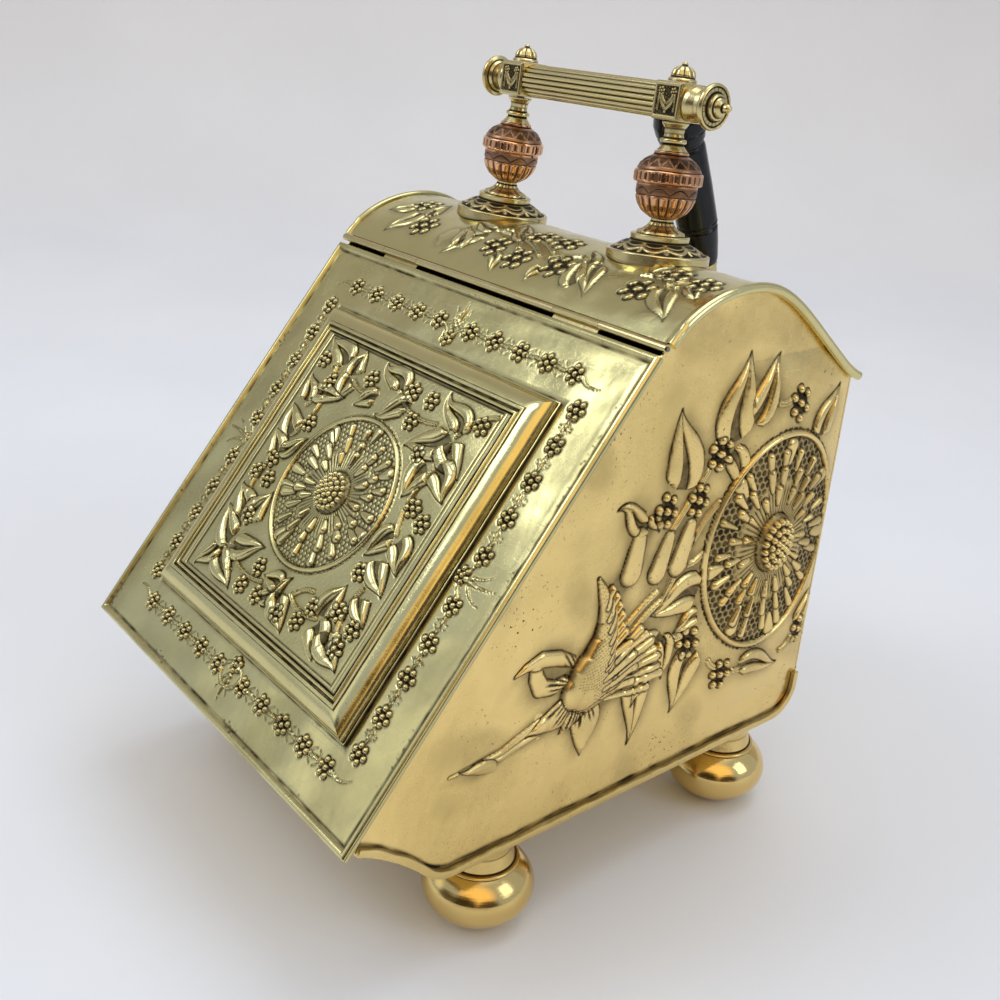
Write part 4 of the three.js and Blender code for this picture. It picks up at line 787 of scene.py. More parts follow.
PANEL_LEAVES = (
    # tip, base, half width, bend, on the centre panel: x and distance down the lid
    ((-84, 64), (-59, 76), 7.0, 0.14), ((-46, 63), (-46, 80), 6.0, -0.14),
    ((-46, 99), (-46, 83), 6.5, 0.14), ((-41, 95), (-71, 103), 4.8, -0.12),
    ((-83, 91), (-73, 108), 5.5, 0.14), ((-83, 113), (-66, 131), 7.5, -0.14),
    ((-83, 131), (-69, 148), 6.0, 0.14), ((-50, 128), (-66, 143), 4.0, 0.12),
    ((-23, 64), (1, 76), 6.0, (0.3, -0.2)), ((-30, 96), (-15, 86), 4.5, 0.15),
    ((41, 64), (65, 83), 5.5, (0.25, -0.25)), ((30, 103), (60, 87), 7.0, -0.16),
    ((83, 106), (62, 90), 6.8, 0.12), ((83, 121), (66, 105), 6.8, -0.14),
    ((52, 129), (57, 108), 6.8, 0.14), ((-8, 95), (16, 82), 5.0, (0.2, -0.2)),
    ((52, 167), (64, 149), 5.5, 0.14), ((83, 167), (70, 150), 6.0, -0.14),
    ((82, 181), (65, 165), 6.0, 0.14), ((54, 186), (50, 208), 6.5, -0.12),
    ((83, 200), (70, 187), 5.0, 0.14), ((62, 230), (50, 213), 6.8, -0.14),
    ((83, 227), (61, 213), 7.0, 0.14), ((11, 201), (-4, 222), 4.0, 0.14),
    ((27, 230), (9, 212), 6.2, 0.14), ((-13, 210), (5, 209), 4.5, 0.12),
    ((-82, 172), (-63, 190), 7.0, 0.14), ((-50, 167), (-54, 190), 7.0, -0.14),
    ((-82, 188), (-60, 206), 7.0, -0.14), ((-27, 197), (-56, 207), 6.0, 0.12),
    ((-36, 230), (-63, 213), 6.2, 0.14), ((-79, 231), (-66, 213), 4.5, -0.12),
)
PANEL_CLUSTERS = (
    (-28, 77), (-62, 90), (-80, 79), (-57, 119), (-69, 150), (12, 73), (30, 73), (24, 89), (46, 104),
    (66, 131), (78, 136), (77, 74), (57, 176), (61, 200), (77, 204), (74, 217), (34, 219), (-77, 162),
    (-62, 162), (-57, 187), (-21, 208), (-27, 223), (-9, 222), (17, 222), (40, 207),
)
PANEL_STEMS = (
    ((-42, 83), (-17, 84)), ((84, 66), (64, 85)), ((-60, 212), (-44, 220)), ((33, 200), (20, 208)),
    ((18, 209), (47, 211)), ((67, 183), (69, 212)), ((-66, 131), (-60, 96)), ((-70, 110), (-64, 80)),
    ((64, 106), (66, 148)), ((-70, 150), (-66, 190)), ((-56, 207), (-12, 214)), ((1, 76), (44, 84)),
)


PANEL_CELL = 0.5


def make_centre_panel():
    """The lid's square panel: leaves, berries and stems round a sunflower, on a matted ground."""
    x = np.linspace(-PANEL_HALF_X, PANEL_HALF_X, round(2 * PANEL_HALF_X / PANEL_CELL) + 1)
    s_count = round(2 * PANEL_HALF_S / PANEL_CELL) + 1
    s = np.linspace(PANEL_S - PANEL_HALF_S, PANEL_S + PANEL_HALF_S, s_count)
    field = Relief(*np.meshgrid(x, s, indexing="ij"))
    a, b = field.a, field.b
    middle_s, half_x, half_s = 147.8, 86.5, 85.6
    frame_line = np.maximum(np.abs(a) - half_x, np.abs(b - middle_s) - half_s)
    matting = waves(a, b, 1.7, 11, 14)
    ground = frame_line < 0
    field.h = np.where(ground, -0.45 + 0.012 * matting, 0.0) + 0.10 * waves(a, b, 17, 12)
    field.dark = np.where(ground, np.clip(0.12 + 0.05 * matting, 0, 1), 0.0)
    for start, end in PANEL_STEMS:
        stem(field, arc_points(start, end, 0.12, 8), 2.6, 1.4)
    for tip, base, half, bend in PANEL_LEAVES:
        leaf(field, tip, base, 1.5 * half, bend, 1.9, 0.55)
    for spot in PANEL_CLUSTERS:
        cluster(field, *spot, 1.75, 1.5, rng.uniform(0, 1), LOOSE)
    medallion(
        field, -0.3, 147.6, 51.3, 51.3, cell=3.4, ring=2.6, boss=5.2, petal=2.1, bead=1.75,
        petals=(16, 14, 12), girth=1.25,
    )
    # painted shade on the ground round the relief
    shade_round_relief(field, 5, 0.55, 0.35)
    for away, width, depth in ((0.0, 0.55, 0.5), (2.6, 0.3, 0.18)):
        line = bell(frame_line - away, width)
        field.h -= depth * line
        field.dark = np.maximum(field.dark, 0.95 * line * (1 if away == 0 else 0.6))
    edge = np.maximum(np.abs(a) - PANEL_HALF_X, np.abs(b - PANEL_S) - PANEL_HALF_S)
    field.dark = np.maximum(field.dark, 0.9 * bell(edge, 0.8))
    points = lid_points(a, b, PANEL_TOP + field.h)
    loop = border(*a.shape)
    foot = lid_points(a.ravel()[loop], b.ravel()[loop], np.full(len(loop), PANEL_TOP - 1.0))
    relief_sheet(
        "lid_centre_relief", points, foot, field.dark, 0.0, "lid", "lid_brass", ["lid_centre_panel"], 60,
    )


def rounded(points, radius, step=0.22):
    """A polyline resampled evenly, with its corners eased over about the given radius."""
    points = np.asarray(points, float)
    lengths = lengths_along(points)
    count = max(3, int(lengths[-1] / step) + 1)
    at = np.linspace(0, lengths[-1], count)
    line = np.stack([np.interp(at, lengths, points[:, k]) for k in range(points.shape[1])], -1)
    reach = int(3 * radius / step)
    kernel = bell(np.arange(-reach, reach + 1) * step, radius * 1.2)
    kernel /= kernel.sum()
    padded = np.concatenate([2 * line[0] - line[reach:0:-1], line, 2 * line[-1] - line[-2:-reach - 2:-1]])
    return np.stack([np.convolve(padded[:, k], kernel, "valid") for k in range(line.shape[1])], -1)


def hollows(line, reach):
    """Patina and painted shade along a profile: high where the line is hollow, to the right of its direction."""
    step = np.linalg.norm(np.diff(line, axis=0), axis=1).mean()
    span = max(1, int(reach / step))
    ahead = line[np.minimum(np.arange(len(line)) + span, len(line) - 1)]
    behind = line[np.maximum(np.arange(len(line)) - span, 0)]
    along = ahead - behind
    normal = np.stack([along[:, 1], -along[:, 0]], -1)
    normal /= np.maximum(np.linalg.norm(along, axis=1), 1e-6)[:, None]
    sink = (((ahead + behind) / 2 - line) * normal).sum(1) / reach
    return np.clip(4.5 * sink - 0.15, 0, 1)


def make_moulding():
    """A mitred frame: base, broad ovolo, pale ridge, groove, small bead and the ledge under the panel."""
    foot, base = LID_FIELD + CLEARANCE, LID_FIELD + CLEARANCE + 1.1
    ovolo_end, ridge = 1.2 + OVOLO, base + MOULDING_RISE + 0.8
    ledge, start = ridge - 2.2, ovolo_end + 5.8
    quarter = np.linspace(0, math.pi / 2, 16)
    curve = [(ovolo_end - OVOLO * math.cos(t), base + MOULDING_RISE * math.sin(t)) for t in quarter]
    section = rounded([
        (0, foot), (0, base - 0.2), *curve,
        (ovolo_end, ridge), (ovolo_end + 1.9, ridge), (ovolo_end + 2.3, ridge - 1.6),
        (ovolo_end + 3.0, ridge - 1.6), (ovolo_end + 3.6, ridge - 0.5), (ovolo_end + 4.4, ridge - 0.1),
        (ovolo_end + 5.2, ridge - 0.6), (start, ledge), (start + 6.2, ledge),
    ], 0.22, 0.3)
    shade = hollows(section[:, ::-1], 1.0)
    shade = np.maximum(shade, 0.85 * bell(section[:, 0] - ovolo_end - 2.6, 0.5))
    shade = np.maximum(shade, 0.8 * bell(section[:, 0] - start, 0.5))
    shade = np.maximum(shade, 0.7 * bell(section[:, 0], 0.3))
    under = np.array([(start + 6.2, ledge - 1.2), (ovolo_end, ledge - 1.2), (4.0, foot + 2.0), (2.2, foot)])
    section, shade = np.concatenate([section, under]), np.concatenate([shade, np.zeros(4)])
    corners = np.array([(1, -1), (-1, -1), (-1, 1), (1, 1)])
    steps = 40
    points, patina_and_shade = [], []
    for first, second in zip(corners, np.roll(corners, -1, axis=0)):
        for t in np.linspace(0, 1, steps, endpoint=False):
            way = first + (second - first) * t
            x = way[0] * (MOULDING_HALF - section[:, 0])
            s = MOULDING_MIDDLE + way[1] * (MOULDING_LENGTH / 2 - section[:, 0])
            sag = 0.12 * waves(x, s, 30, 21) * (section[:, 1] > foot + 0.5)
            points.append(lid_points(x, s, section[:, 1] + sag))
            patina_and_shade.append(shade * (0.85 + 0.15 * waves(x, s, 6, 22)))
    rows, columns = len(points), len(section)
    index = numbered(rows, columns)
    around, along = np.roll(index, -1, 0), np.roll(index, -1, 1)
    faces = np.stack([index, around, np.roll(around, -1, 1), along], -1).reshape(-1, 4)
    points, patina_and_shade = np.concatenate(points), np.clip(np.concatenate(patina_and_shade), 0, 1)
    piece("lid_moulding_frame", points, [faces], "lid", "lid_brass", ["lid_moulding"], patina_and_shade, 40)


# ---------------------------------------------------------------- the box's outlines, (y, z)
def bezier(*controls, steps=16):
    """A smooth curve drawn by its control points."""
    t = np.linspace(0, 1, steps + 1)[:, None]
    order = len(controls) - 1
    return sum(
        math.comb(order, k) * (1 - t) ** (order - k) * t ** k * np.array(point, float)
        for k, point in enumerate(controls)
    )


def offset_line(line, distance):
    """The line moved to the left of its direction."""
    return line + distance * left_of(line)


FLOOR_DROP, BACK_DEPTH, REAR_RADIUS, TRAY_RISE = 276.6, 177.0, 22.0, 8.6
TOE_REACH, TOE_HEIGHT, KEEL_REACH = 175.4, 41.8, 114.0
RAMP = math.radians(48)
CROWN = (66.0, 28.8)
TAIL, TAIL_END, TAIL_SLOPE = (160.0, -24.1), (179.5, -36.0), math.radians(37.5)
COVER_HALF, COVER_BEAD, COVER_BEAD_DEPTH = 152.8, 2.8, 0.6

toe = (-TOE_REACH, -FLOOR_DROP + TOE_HEIGHT)
ogee_end = (-KEEL_REACH - 19, -FLOOR_DROP + 9.6)
corner_turn = np.linspace(-math.pi / 2, 0, 24)
corner = np.stack([
    BACK_DEPTH - REAR_RADIUS + REAR_RADIUS * np.cos(corner_turn),
    -FLOOR_DROP + REAR_RADIUS + REAR_RADIUS * np.sin(corner_turn),
], -1)
TRAY_LINE = np.concatenate([
    bezier(toe, (toe[0] + 10, toe[1] - 3.5), (ogee_end[0] - 13, ogee_end[1] + 14.5), ogee_end, steps=30),
    bezier(ogee_end, (-KEEL_REACH - 10.5, -FLOOR_DROP + 0.6), (-KEEL_REACH, -FLOOR_DROP), steps=12)[1:],
    np.stack([np.linspace(-KEEL_REACH, BACK_DEPTH - REAR_RADIUS, 40)[1:-1], np.full(38, -FLOOR_DROP)], -1),
    corner, [(BACK_DEPTH, -FLOOR_DROP + REAR_RADIUS + TRAY_RISE)],
])
ramp_way, ramp_out = np.array([math.cos(RAMP), math.sin(RAMP)]), np.array([-math.sin(RAMP), math.cos(RAMP)])
cover_start = HINGE[1:] + 2.85 * ramp_way + 0.3 * ramp_out
tail_way = np.array([math.cos(TAIL_SLOPE), -math.sin(TAIL_SLOPE)])
COVER_LINE = np.concatenate([
    bezier(cover_start, cover_start + 18 * ramp_way, (CROWN[0] - 26, CROWN[1]), CROWN, steps=40),
    bezier(CROWN, (CROWN[0] + 32, CROWN[1]), np.array(TAIL) - 60 * tail_way, TAIL, steps=50)[1:],
    bezier(TAIL, np.array(TAIL) + 13.9 * tail_way, TAIL_END, steps=14)[1:],
])
cover_lengths = lengths_along(COVER_LINE)
cover_height = lambda y: np.interp(y, COVER_LINE[:, 0], COVER_LINE[:, 1])


# ---------------------------------------------------------------- side panels
SWELL, SWELL_Y, SWELL_DROP, SWELL_HALF_Y, SWELL_HALF_DROP = 6.4, 117.5, 132.3, 59.2, 118.0
MEDALLION_Y, MEDALLION_DROP = 58.5, 73.5


def swell(y, drop):
    """How far the side panel bows out."""
    across = np.clip(np.abs(y - SWELL_Y) / SWELL_HALF_Y, 0, 1)
    along = np.clip(np.abs(drop - SWELL_DROP) / SWELL_HALF_DROP, 0, 1)
    return SWELL * (1 - across ** 2) * (1 - along ** 4)


def on_side(y, drop):
    """A mark read off a flat side, moved to where the same line of sight meets the swelling."""
    ahead, above, level = 1.41, 0.75, 1.3
    rise = swell(y - 6, drop - 3) - level
    return y - ahead * max(rise, 0), drop - above * max(rise, 0)


SIDE_LEAVES = (
    # tip, base, half width, bend, on the side: distance behind the lid's top edge, and below it
    ((77, 9), (72, 60), 12.5, -0.12), ((103, 13), (86, 50), 9.5, 0.12),
    ((165, 40), (153, 72), 9.0, -0.12), ((26, 34), (34, 82), 13.0, 0.13),
    ((88, 96), (70, 66), 7.5, -0.14), ((-14, 84), (10, 97), 6.5, (-0.25, 0.3)),
    ((20, 104), (14, 92), 4.5, 0.12), ((22, 158), (60, 152), 12.0, 0.14),
    ((15, 243), (34, 174), 12.5, (0.24, -0.02)), ((12, 214), (22, 196), 5.0, 0.1),
    ((38, 205), (34, 176), 6.5, -0.14), ((50, 233), (64, 192), 11.0, 0.14),
    ((150, 229), (110, 220), 8.0, -0.16), ((176, 180), (162, 204), 6.5, 0.1),
    ((44, 176), (62, 168), 6.0, 0.1),
)
SIDE_PODS = (
    # start, end, half width of a round-ended pod
    ((5, 103), (1, 125), 8.0), ((29, 110), (22, 130), 7.4), ((46, 107), (39, 129), 7.8),
)
SIDE_CLUSTERS = (
    (128, 47), (62, 66), (24, 93), (50, 92), (57, 187), (92, 219), (168, 210),
)
SIDE_STEMS = (
    (((106, 43), (118, 44)), 0.1), (((58, 70), (42, 92), (30, 106)), 0), (((46, 132), (60, 127)), 0.1),
    (((0, 160), (10, 150), (24, 143)), 0), (((5, 167), (14, 156), (28, 150)), 0),
    (((33, 177), (50, 180)), 0.1), (((78, 205), (86, 212)), 0.1), (((103, 220), (112, 221)), 0.1),
    (((152, 221), (161, 214)), 0.1), (((66, 96), (46, 118), (30, 150)), 0), (((58, 60), (66, 66)), 0.1),
)


FEATHERS = (
    # start, tip, half width, on the plume and then on the fan
    ((-17, 141), (-13, 130), 2.0), ((-16, 148), (-9, 136), 2.4), ((-15, 155), (-6, 142), 2.2),
    ((-14, 162), (-3, 149), 2.7), ((-13, 168), (-2, 156), 2.4), ((-14, 174), (1, 161), 2.8),
    ((-12, 180), (13, 163), 3.0), ((-6, 178), (19, 168), 2.2), ((-10, 184), (23, 174), 3.2),
    ((-4, 186), (27, 180), 2.3), ((-8, 190), (29, 186), 3.2), ((-4, 194), (31, 193), 2.3),
    ((-8, 197), (34, 199), 3.0), ((-10, 202), (24, 205), 2.4), ((-16, 178), (5, 169), 2.2),
    ((-16, 185), (9, 178), 2.6), ((-16, 191), (11, 187), 2.6), ((-16, 197), (10, 196), 2.6),
)
SEPALS = (
    # tip, base, half width, bend
    ((-68, 206), (-34, 194), 9.0, -0.16),
    ((-24, 235), (-24, 203), 11.0, -0.1), ((-42, 214), (-28, 200), 6.0, 0.1),
)
BULB = (
    # y, drop, half width, height, from the rounded end up to the plume's tip
    (-31, 189, 12.0, 5.6), (-25, 184, 16.0, 7.0), (-18, 173, 13.0, 6.6), (-14, 160, 8.6, 5.4),
    (-13.5, 149, 6.4, 4.4), (-16, 138, 4.6, 3.2), (-20, 128, 2.6, 2.0), (-23, 122, 0.8, 0.8),
)
CURLED_SEPAL = (
    # the same four numbers, in two strokes
    (
        (-64, 162, 3.6, 1.8), (-63, 170, 4.8, 2.4), (-59, 178, 5.6, 2.4), (-50, 181, 4.4, 2.2),
        (-42, 179, 3.0, 2.0),
    ),
    (
        (-38, 168, 3.4, 2.0), (-48, 163, 4.6, 2.4), (-60, 160, 4.8, 2.4), (-70, 161.5, 2.6, 1.6),
        (-78, 165, 0.4, 0.4),
    ),
)
FAN = ((-24, 190, 14.5, 6.4), (-8, 187, 14.0, 5.4), (6, 182, 9.0, 3.4))


def swollen(field, marks, stipple=0.12):
    """A round-backed form, smooth or stippled, along marks of (a, b, half width, height)."""
    marks = np.array(marks, float)
    line = marks[:, :2]
    begun = lengths_along(line)
    fine = np.linspace(0, begun[-1], 70)
    line = np.stack([np.interp(fine, begun, line[:, k]) for k in (0, 1)], -1)
    area = field.near(line, marks[:, 2].max() + 3)
    share, side, _ = follow(line, field.a[area], field.b[area])
    half = np.interp(share, begun / begun[-1], marks[:, 2])
    height = np.interp(share, begun / begun[-1], marks[:, 3])
    across = np.abs(side) / half
    dome = height * vault(across)
    grain = np.sin(share * begun[-1] * 2.4) * np.sin(side * 2.4)
    inner = 1 - ramp(across, 0.5, 0.85)
    dome += stipple * grain * inner
    won = (across < 1) & (dome > field.h[area])
    edge = bell((across - 1) * half - 0.3, 0.7) * (across >= 1)
    field.engrave(area, 0.4 * edge, edge)
    field.h[area] = np.where(won, dome, field.h[area])
    spots = 0.55 * (grain < -0.4) * inner * (stipple > 0)
    field.dark[area] = np.where(won, np.maximum(spots, 0.7 * ramp(across, 0.85, 1.0)), field.dark[area])


def flower(field):
    """The big blossom at the front: a stippled bulb with feathery petals, curled sepals and a stalk."""
    stem(field, [(-58, 203), (-72, 207), (-84, 211), (-98, 212), (-118, 212)], 11.5, 2.4, 0.86)
    leaf(field, (-112, 211), (-88, 218), 4.6, 0.12, 2.0, 0.5, split=False)
    for marks in CURLED_SEPAL:
        swollen(field, marks, 0)
    for tip, base, half, bend in SEPALS:
        leaf(field, tip, base, half, bend, 2.4, 0.6, split=False)
    # dark strokes that run out from the bulb over the sepals
    middle = np.array(BULB[0][:2]) + (2, -4)
    area = field.window(middle[0] - 32, middle[0] + 12, middle[1] - 24, middle[1] + 34)
    x, y = field.a[area] - middle[0], field.b[area] - middle[1]
    away, angle = np.hypot(x, y), np.arctan2(y, x)
    reach = np.clip((28 + 3 * np.sin(angle * 17) - away) / 4, 0, 1)
    strokes = (np.sin(angle * 46) > 0.0) * reach * (away > 10) * (field.h[area] > 0.3)
    field.engrave(area, 0.15 * strokes, 0.85 * strokes)
    swollen(field, FAN)
    swollen(field, BULB)
    for start, tip, half in FEATHERS:
        drop(field, start, tip, half, 3.4, 0.45, 0.6)


def side_motifs(field):
    """Everything that is embossed on a side panel."""
    for marks, bend in SIDE_STEMS:
        line = [on_side(*mark) for mark in marks]
        line = bezier(*line) if len(line) > 2 else arc_points(*line, bend, 6)
        stem(field, line, 4.0, 1.8)
    for tip, base, half, bend in SIDE_LEAVES:
        leaf(field, on_side(*tip), on_side(*base), 1.12 * half, bend, 2.4, 0.7)
    for start, end, half in SIDE_PODS:
        drop(field, on_side(*start), on_side(*end), half, 2.7, 0.6)
    flower(field)
    for spot in SIDE_CLUSTERS:
        cluster(field, *on_side(*spot), 2.55, 2.2, 0.35 + rng.uniform(-0.2, 0.2), 2.6, 1.3)
    medallion(
        field, SWELL_Y, SWELL_DROP, MEDALLION_Y, MEDALLION_DROP, cell=4.7, ring=3.4, boss=7.5, petal=2.5,
        bead=2.15, petals=(20, 18, 15), girth=0.9, sunk=True,
    )
    # painted shade on the ground round the relief
    shade_round_relief(field, 7, 0.6)


def make_side(side, cell):
    """One side panel: columns from front to back, each from the panel's lower edge to its upper one."""
    low_line = offset_line(TRAY_LINE, SHEET + CLEARANCE)
    mouth_top, mouth_foot = -4.95 * DOWN - 5.2 * OUT, (LID_LENGTH - 4.6) * DOWN - 5.2 * OUT
    under = offset_line(COVER_LINE, -(SHEET + CLEARANCE))
    under = under[under[:, 0] > 10.6]
    high_line = np.concatenate([[mouth_foot[1:], mouth_top[1:]], under])
    front, rear = mouth_foot[1] + 0.6, BACK_DEPTH - SHEET - CLEARANCE
    y = np.linspace(front, rear, round((rear - front) / cell) + 1)
    low = np.interp(y, low_line[:, 0], low_line[:, 1])
    toe_y, toe_z = low_line[0]
    low = np.where(y < toe_y, np.interp(y, [front, toe_y], [mouth_foot[2] - 1, toe_z]), low)
    high = np.interp(y, high_line[:, 0], high_line[:, 1])
    low = np.minimum(low, high - 0.3)
    rows = round(300 / cell)
    t = np.linspace(0, 1, rows + 1)
    z = high[:, None] + (low - high)[:, None] * t
    a, b = np.broadcast_to(y[:, None], z.shape).copy(), -z
    field = Relief(a, b)
    field.h += 0.22 * waves(a, b, 34, 31) + 0.06 * waves(a, b, 9, 32)
    side_motifs(field)
    # the edges lie flat under the seam, the cover and the lid's rim
    height_above, height_below = (z - low[:, None]), (high[:, None] - z)
    edge = np.minimum(np.minimum(height_above, height_below), np.minimum(a - front, rear - a))
    fade = np.clip(edge / 5, 0, 1)
    seam = bell(height_above - 5.4, 1.5) * (0.75 + 0.25 * waves(a, b, 22, 33))
    # random smudges, with painted shade that darkens the panel towards its upper back
    smudge_and_shade = 0.2 * np.clip(waves(a, b, 55, 34) + 0.9 * ramp(a + z * 0.5, -20, 140) - 0.3, 0, 1)
    dark = np.clip(most(field.dark * fade, 0.95 * seam, smudge_and_shade), 0, 1)
    x = BODY_HALF + swell(a, b) * np.clip(edge / 1.5, 0, 1) + field.h * fade
    outer = np.stack([side * x, a, z], -1)
    inner = outer.reshape(-1, 3)[border(*a.shape)]
    inner[:, 0] = side * (BODY_HALF - SHEET)
    name = side_name(side)
    relief_sheet(
        f"side_relief_{name}", outer, inner, dark, 0.0, "box", "box_brass", [f"side_panel_{name}"], 60,
    )


# ---------------------------------------------------------------- cover and tray
COVER_CLUSTERS = (
    (-91, 25), (-119, 48), (-18, 27), (8, 22), (41, 26), (1, 50), (22, 51), (105, 27), (111, 50),
    (134, 49),
)
COVER_LEAVES = (
    # tip, base, half width, bend, on the cover: x and distance along it from the hinge
    ((-120, 11), (-108, 36), 6.5, 0.16), ((-104, 58), (-98, 36), 4.5, 0.14),
    ((-54, 8), (-34, 34), 6.5, -0.18), ((-56, 38), (-46, 16), 6.5, -0.16),
    ((-60, 47), (-36, 42), 5.5, 0.14), ((-1, 6), (-11, 20), 3.6, 0.16), ((28, 8), (31, 20), 3.6, -0.16),
    ((77, 10), (66, 38), 6.5, -0.14), ((51, 40), (64, 16), 6.5, 0.16), ((45, 52), (58, 34), 5.0, -0.14),
    ((138, 11), (121, 34), 7.0, -0.16), ((98, 44), (92, 62), 5.0, 0.14), ((-28, 62), (-4, 40), 5.5, 0.14),
    ((142, 32), (133, 42), 4.5, -0.12), ((-138, 30), (-124, 42), 5.5, 0.14),
)
COVER_STEMS = (
    ((-104, 42), (-97, 30)), ((-110, 48), (-98, 33)), ((-34, 42), (20, 30)), ((-30, 46), (26, 36)),
    ((-12, 40), (0, 30)), ((96, 40), (124, 38)), ((62, 40), (52, 30)), ((118, 36), (126, 46)),
    ((30, 30), (60, 42)),
)
REAR_MIRROR = 162.0


COVER_CELL = 0.7


def make_cover():
    """The bowed cover: a rolled bead along each edge, and a garland before and behind the handle."""
    half = COVER_HALF - COVER_BEAD + 0.4
    x_flat = np.linspace(-half, half, round(2 * half / COVER_CELL) + 1)
    arc = np.linspace(0, cover_lengths[-1], round(cover_lengths[-1] / COVER_CELL) + 1)
    field = Relief(*np.meshgrid(x_flat, arc, indexing="ij"))
    a, b = field.a, field.b
    field.h += 0.2 * waves(a, b, 30, 41) + 0.05 * waves(a, b, 8, 42)
    for rear in (False, True):
        spot = (lambda p: (-p[0], REAR_MIRROR - p[1])) if rear else (lambda p: p)
        for start, end in COVER_STEMS:
            stem(field, arc_points(spot(start), spot(end), 0.1, 8), 3.4, 1.5)
        for tip, base, width, bend in COVER_LEAVES:
            leaf(field, spot(tip), spot(base), 1.25 * width, bend, 1.3, 0.5)
        for mark in COVER_CLUSTERS:
            cluster(field, *spot(mark), 2.8, 1.3, rng.uniform(0, 1), 2.75, slit=0.9)
    # painted shade on the ground round the relief
    shade_round_relief(field, 4, 0.45, 0.3)
    edge = np.minimum.reduce([a + half, half - a, 0.55 * (b - 1.5), arc[-1] - b])
    fade = np.clip(edge / 5, 0, 1)
    seam = bell(np.minimum(a + half, half - a) - 1.0, 0.9) * (0.7 + 0.3 * waves(a, b, 8, 43))
    # the rolled bead: an arc of the section past each end of the flat part
    turns = np.linspace(2.7, -2.7, 18)
    bead_x = COVER_HALF + COVER_BEAD * np.cos(turns)
    bead_out = COVER_BEAD * np.sin(turns) - COVER_BEAD_DEPTH
    x_all = np.concatenate([-bead_x[::-1], x_flat, bead_x])
    # the beads sit a little lower by the hinge, where the open lid's corners come down
    ends = bead_out[:, None] - 0.7 * (1 - ramp(arc, 9, 13))[None]
    out = np.concatenate([ends[::-1], field.h * fade, ends])
    rim = np.repeat(0.25 * bell(turns - 2.7, 0.5)[:, None], len(arc), 1)
    dark = np.concatenate([rim[::-1], np.maximum(field.dark * fade, 0.75 * seam), rim])
    spine = np.stack([np.interp(arc, cover_lengths, COVER_LINE[:, k]) for k in (0, 1)], -1)
    normal = left_of(spine)
    rows, columns = len(x_all), len(arc)
    points = np.zeros((rows, columns, 3))
    points[..., 0] = x_all[:, None]
    points[..., 1:] = spine[None] + out[..., None] * normal[None]
    # underside: two lines of points under the flat part's ends close the sheet
    inner = np.zeros((2, columns, 3))
    for k, way in enumerate((-1, 1)):
        inner[k, :, 0] = way * (COVER_HALF - 1.8)
        inner[k, :, 1:] = spine - SHEET * normal
    index = numbered(rows, columns)
    low = rows * columns + np.arange(2 * columns).reshape(2, columns)
    loop = np.concatenate([[low[0]], index, [low[1]], [low[0]]])
    faces = np.stack([loop[:-1, :-1], loop[1:, :-1], loop[1:, 1:], loop[:-1, 1:]], -1).reshape(-1, 4)
    first, last = (np.concatenate([index[:, j], low[::-1, j]])[None] for j in (0, columns - 1))
    points = np.concatenate([points.reshape(-1, 3), inner.reshape(-1, 3)])
    patina_and_shade = np.clip(np.concatenate([dark.ravel(), np.zeros(2 * columns)]), 0, 1)
    groups = [faces, first, last[:, ::-1]]
    piece("cover_relief", points, groups, "box", "lid_brass", ["top_cover"], patina_and_shade, 50)


def make_tray():
    """The wrapper under the box, with its edges folded up over the side panels."""
    lip_inner = BODY_HALF + CLEARANCE
    lip_outer = lip_inner + 2.6
    half_section = [
        (0, 0), (lip_outer - 0.9, 0), (lip_outer - 0.25, 0.25), (lip_outer, 0.9), (lip_outer, 4.3),
        (lip_outer - 0.3, 4.95), (lip_outer - 0.9, 5.2), (lip_inner, 5.2), (lip_inner, SHEET), (0, SHEET),
    ]
    section = np.array(half_section[:-1] + [(-x, out) for x, out in half_section[::-1]][:-1])
    normal = left_of(TRAY_LINE)
    x, out = section[:, 0], section[:, 1]
    points = np.zeros((len(TRAY_LINE), len(section), 3))
    wobble = 0.35 * waves(TRAY_LINE[:, 0][:, None], 3.0 * x[None], 16, 51) * (out > 4)
    points[..., 0] = x
    points[..., 1:] = TRAY_LINE[:, None] + (out + wobble)[..., None] * normal[:, None]
    rows, columns = points.shape[:2]
    index = numbered(rows, columns)
    turned_index = np.roll(index, -1, 1)
    faces = np.stack([index[:-1], index[1:], turned_index[1:], turned_index[:-1]], -1).reshape(-1, 4)
    dark = np.broadcast_to(np.where(out > 4.8, 0.55, 0.12) * (np.abs(x) > 100), (rows, columns)).ravel()
    piece(
        "tray_sheet", points.reshape(-1, 3), [faces, index[0][None, ::-1], index[-1][None]],
        "box", "box_brass", ["bottom_tray"], dark, 30,
    )


# ---------------------------------------------------------------- turned and cast pieces
def placed(shift, turn_x=0.0, shift_2=(0, 0, 0), turn_y=0.0):
    """Matrix of a piece that is turned about Y, moved, turned about X and moved again (mm)."""
    return (
        Matrix.Translation(Vector(shift)) @ Matrix.Rotation(turn_x, 4, "X")
        @ Matrix.Translation(Vector(shift_2)) @ Matrix.Rotation(turn_y, 4, "Y")
    )


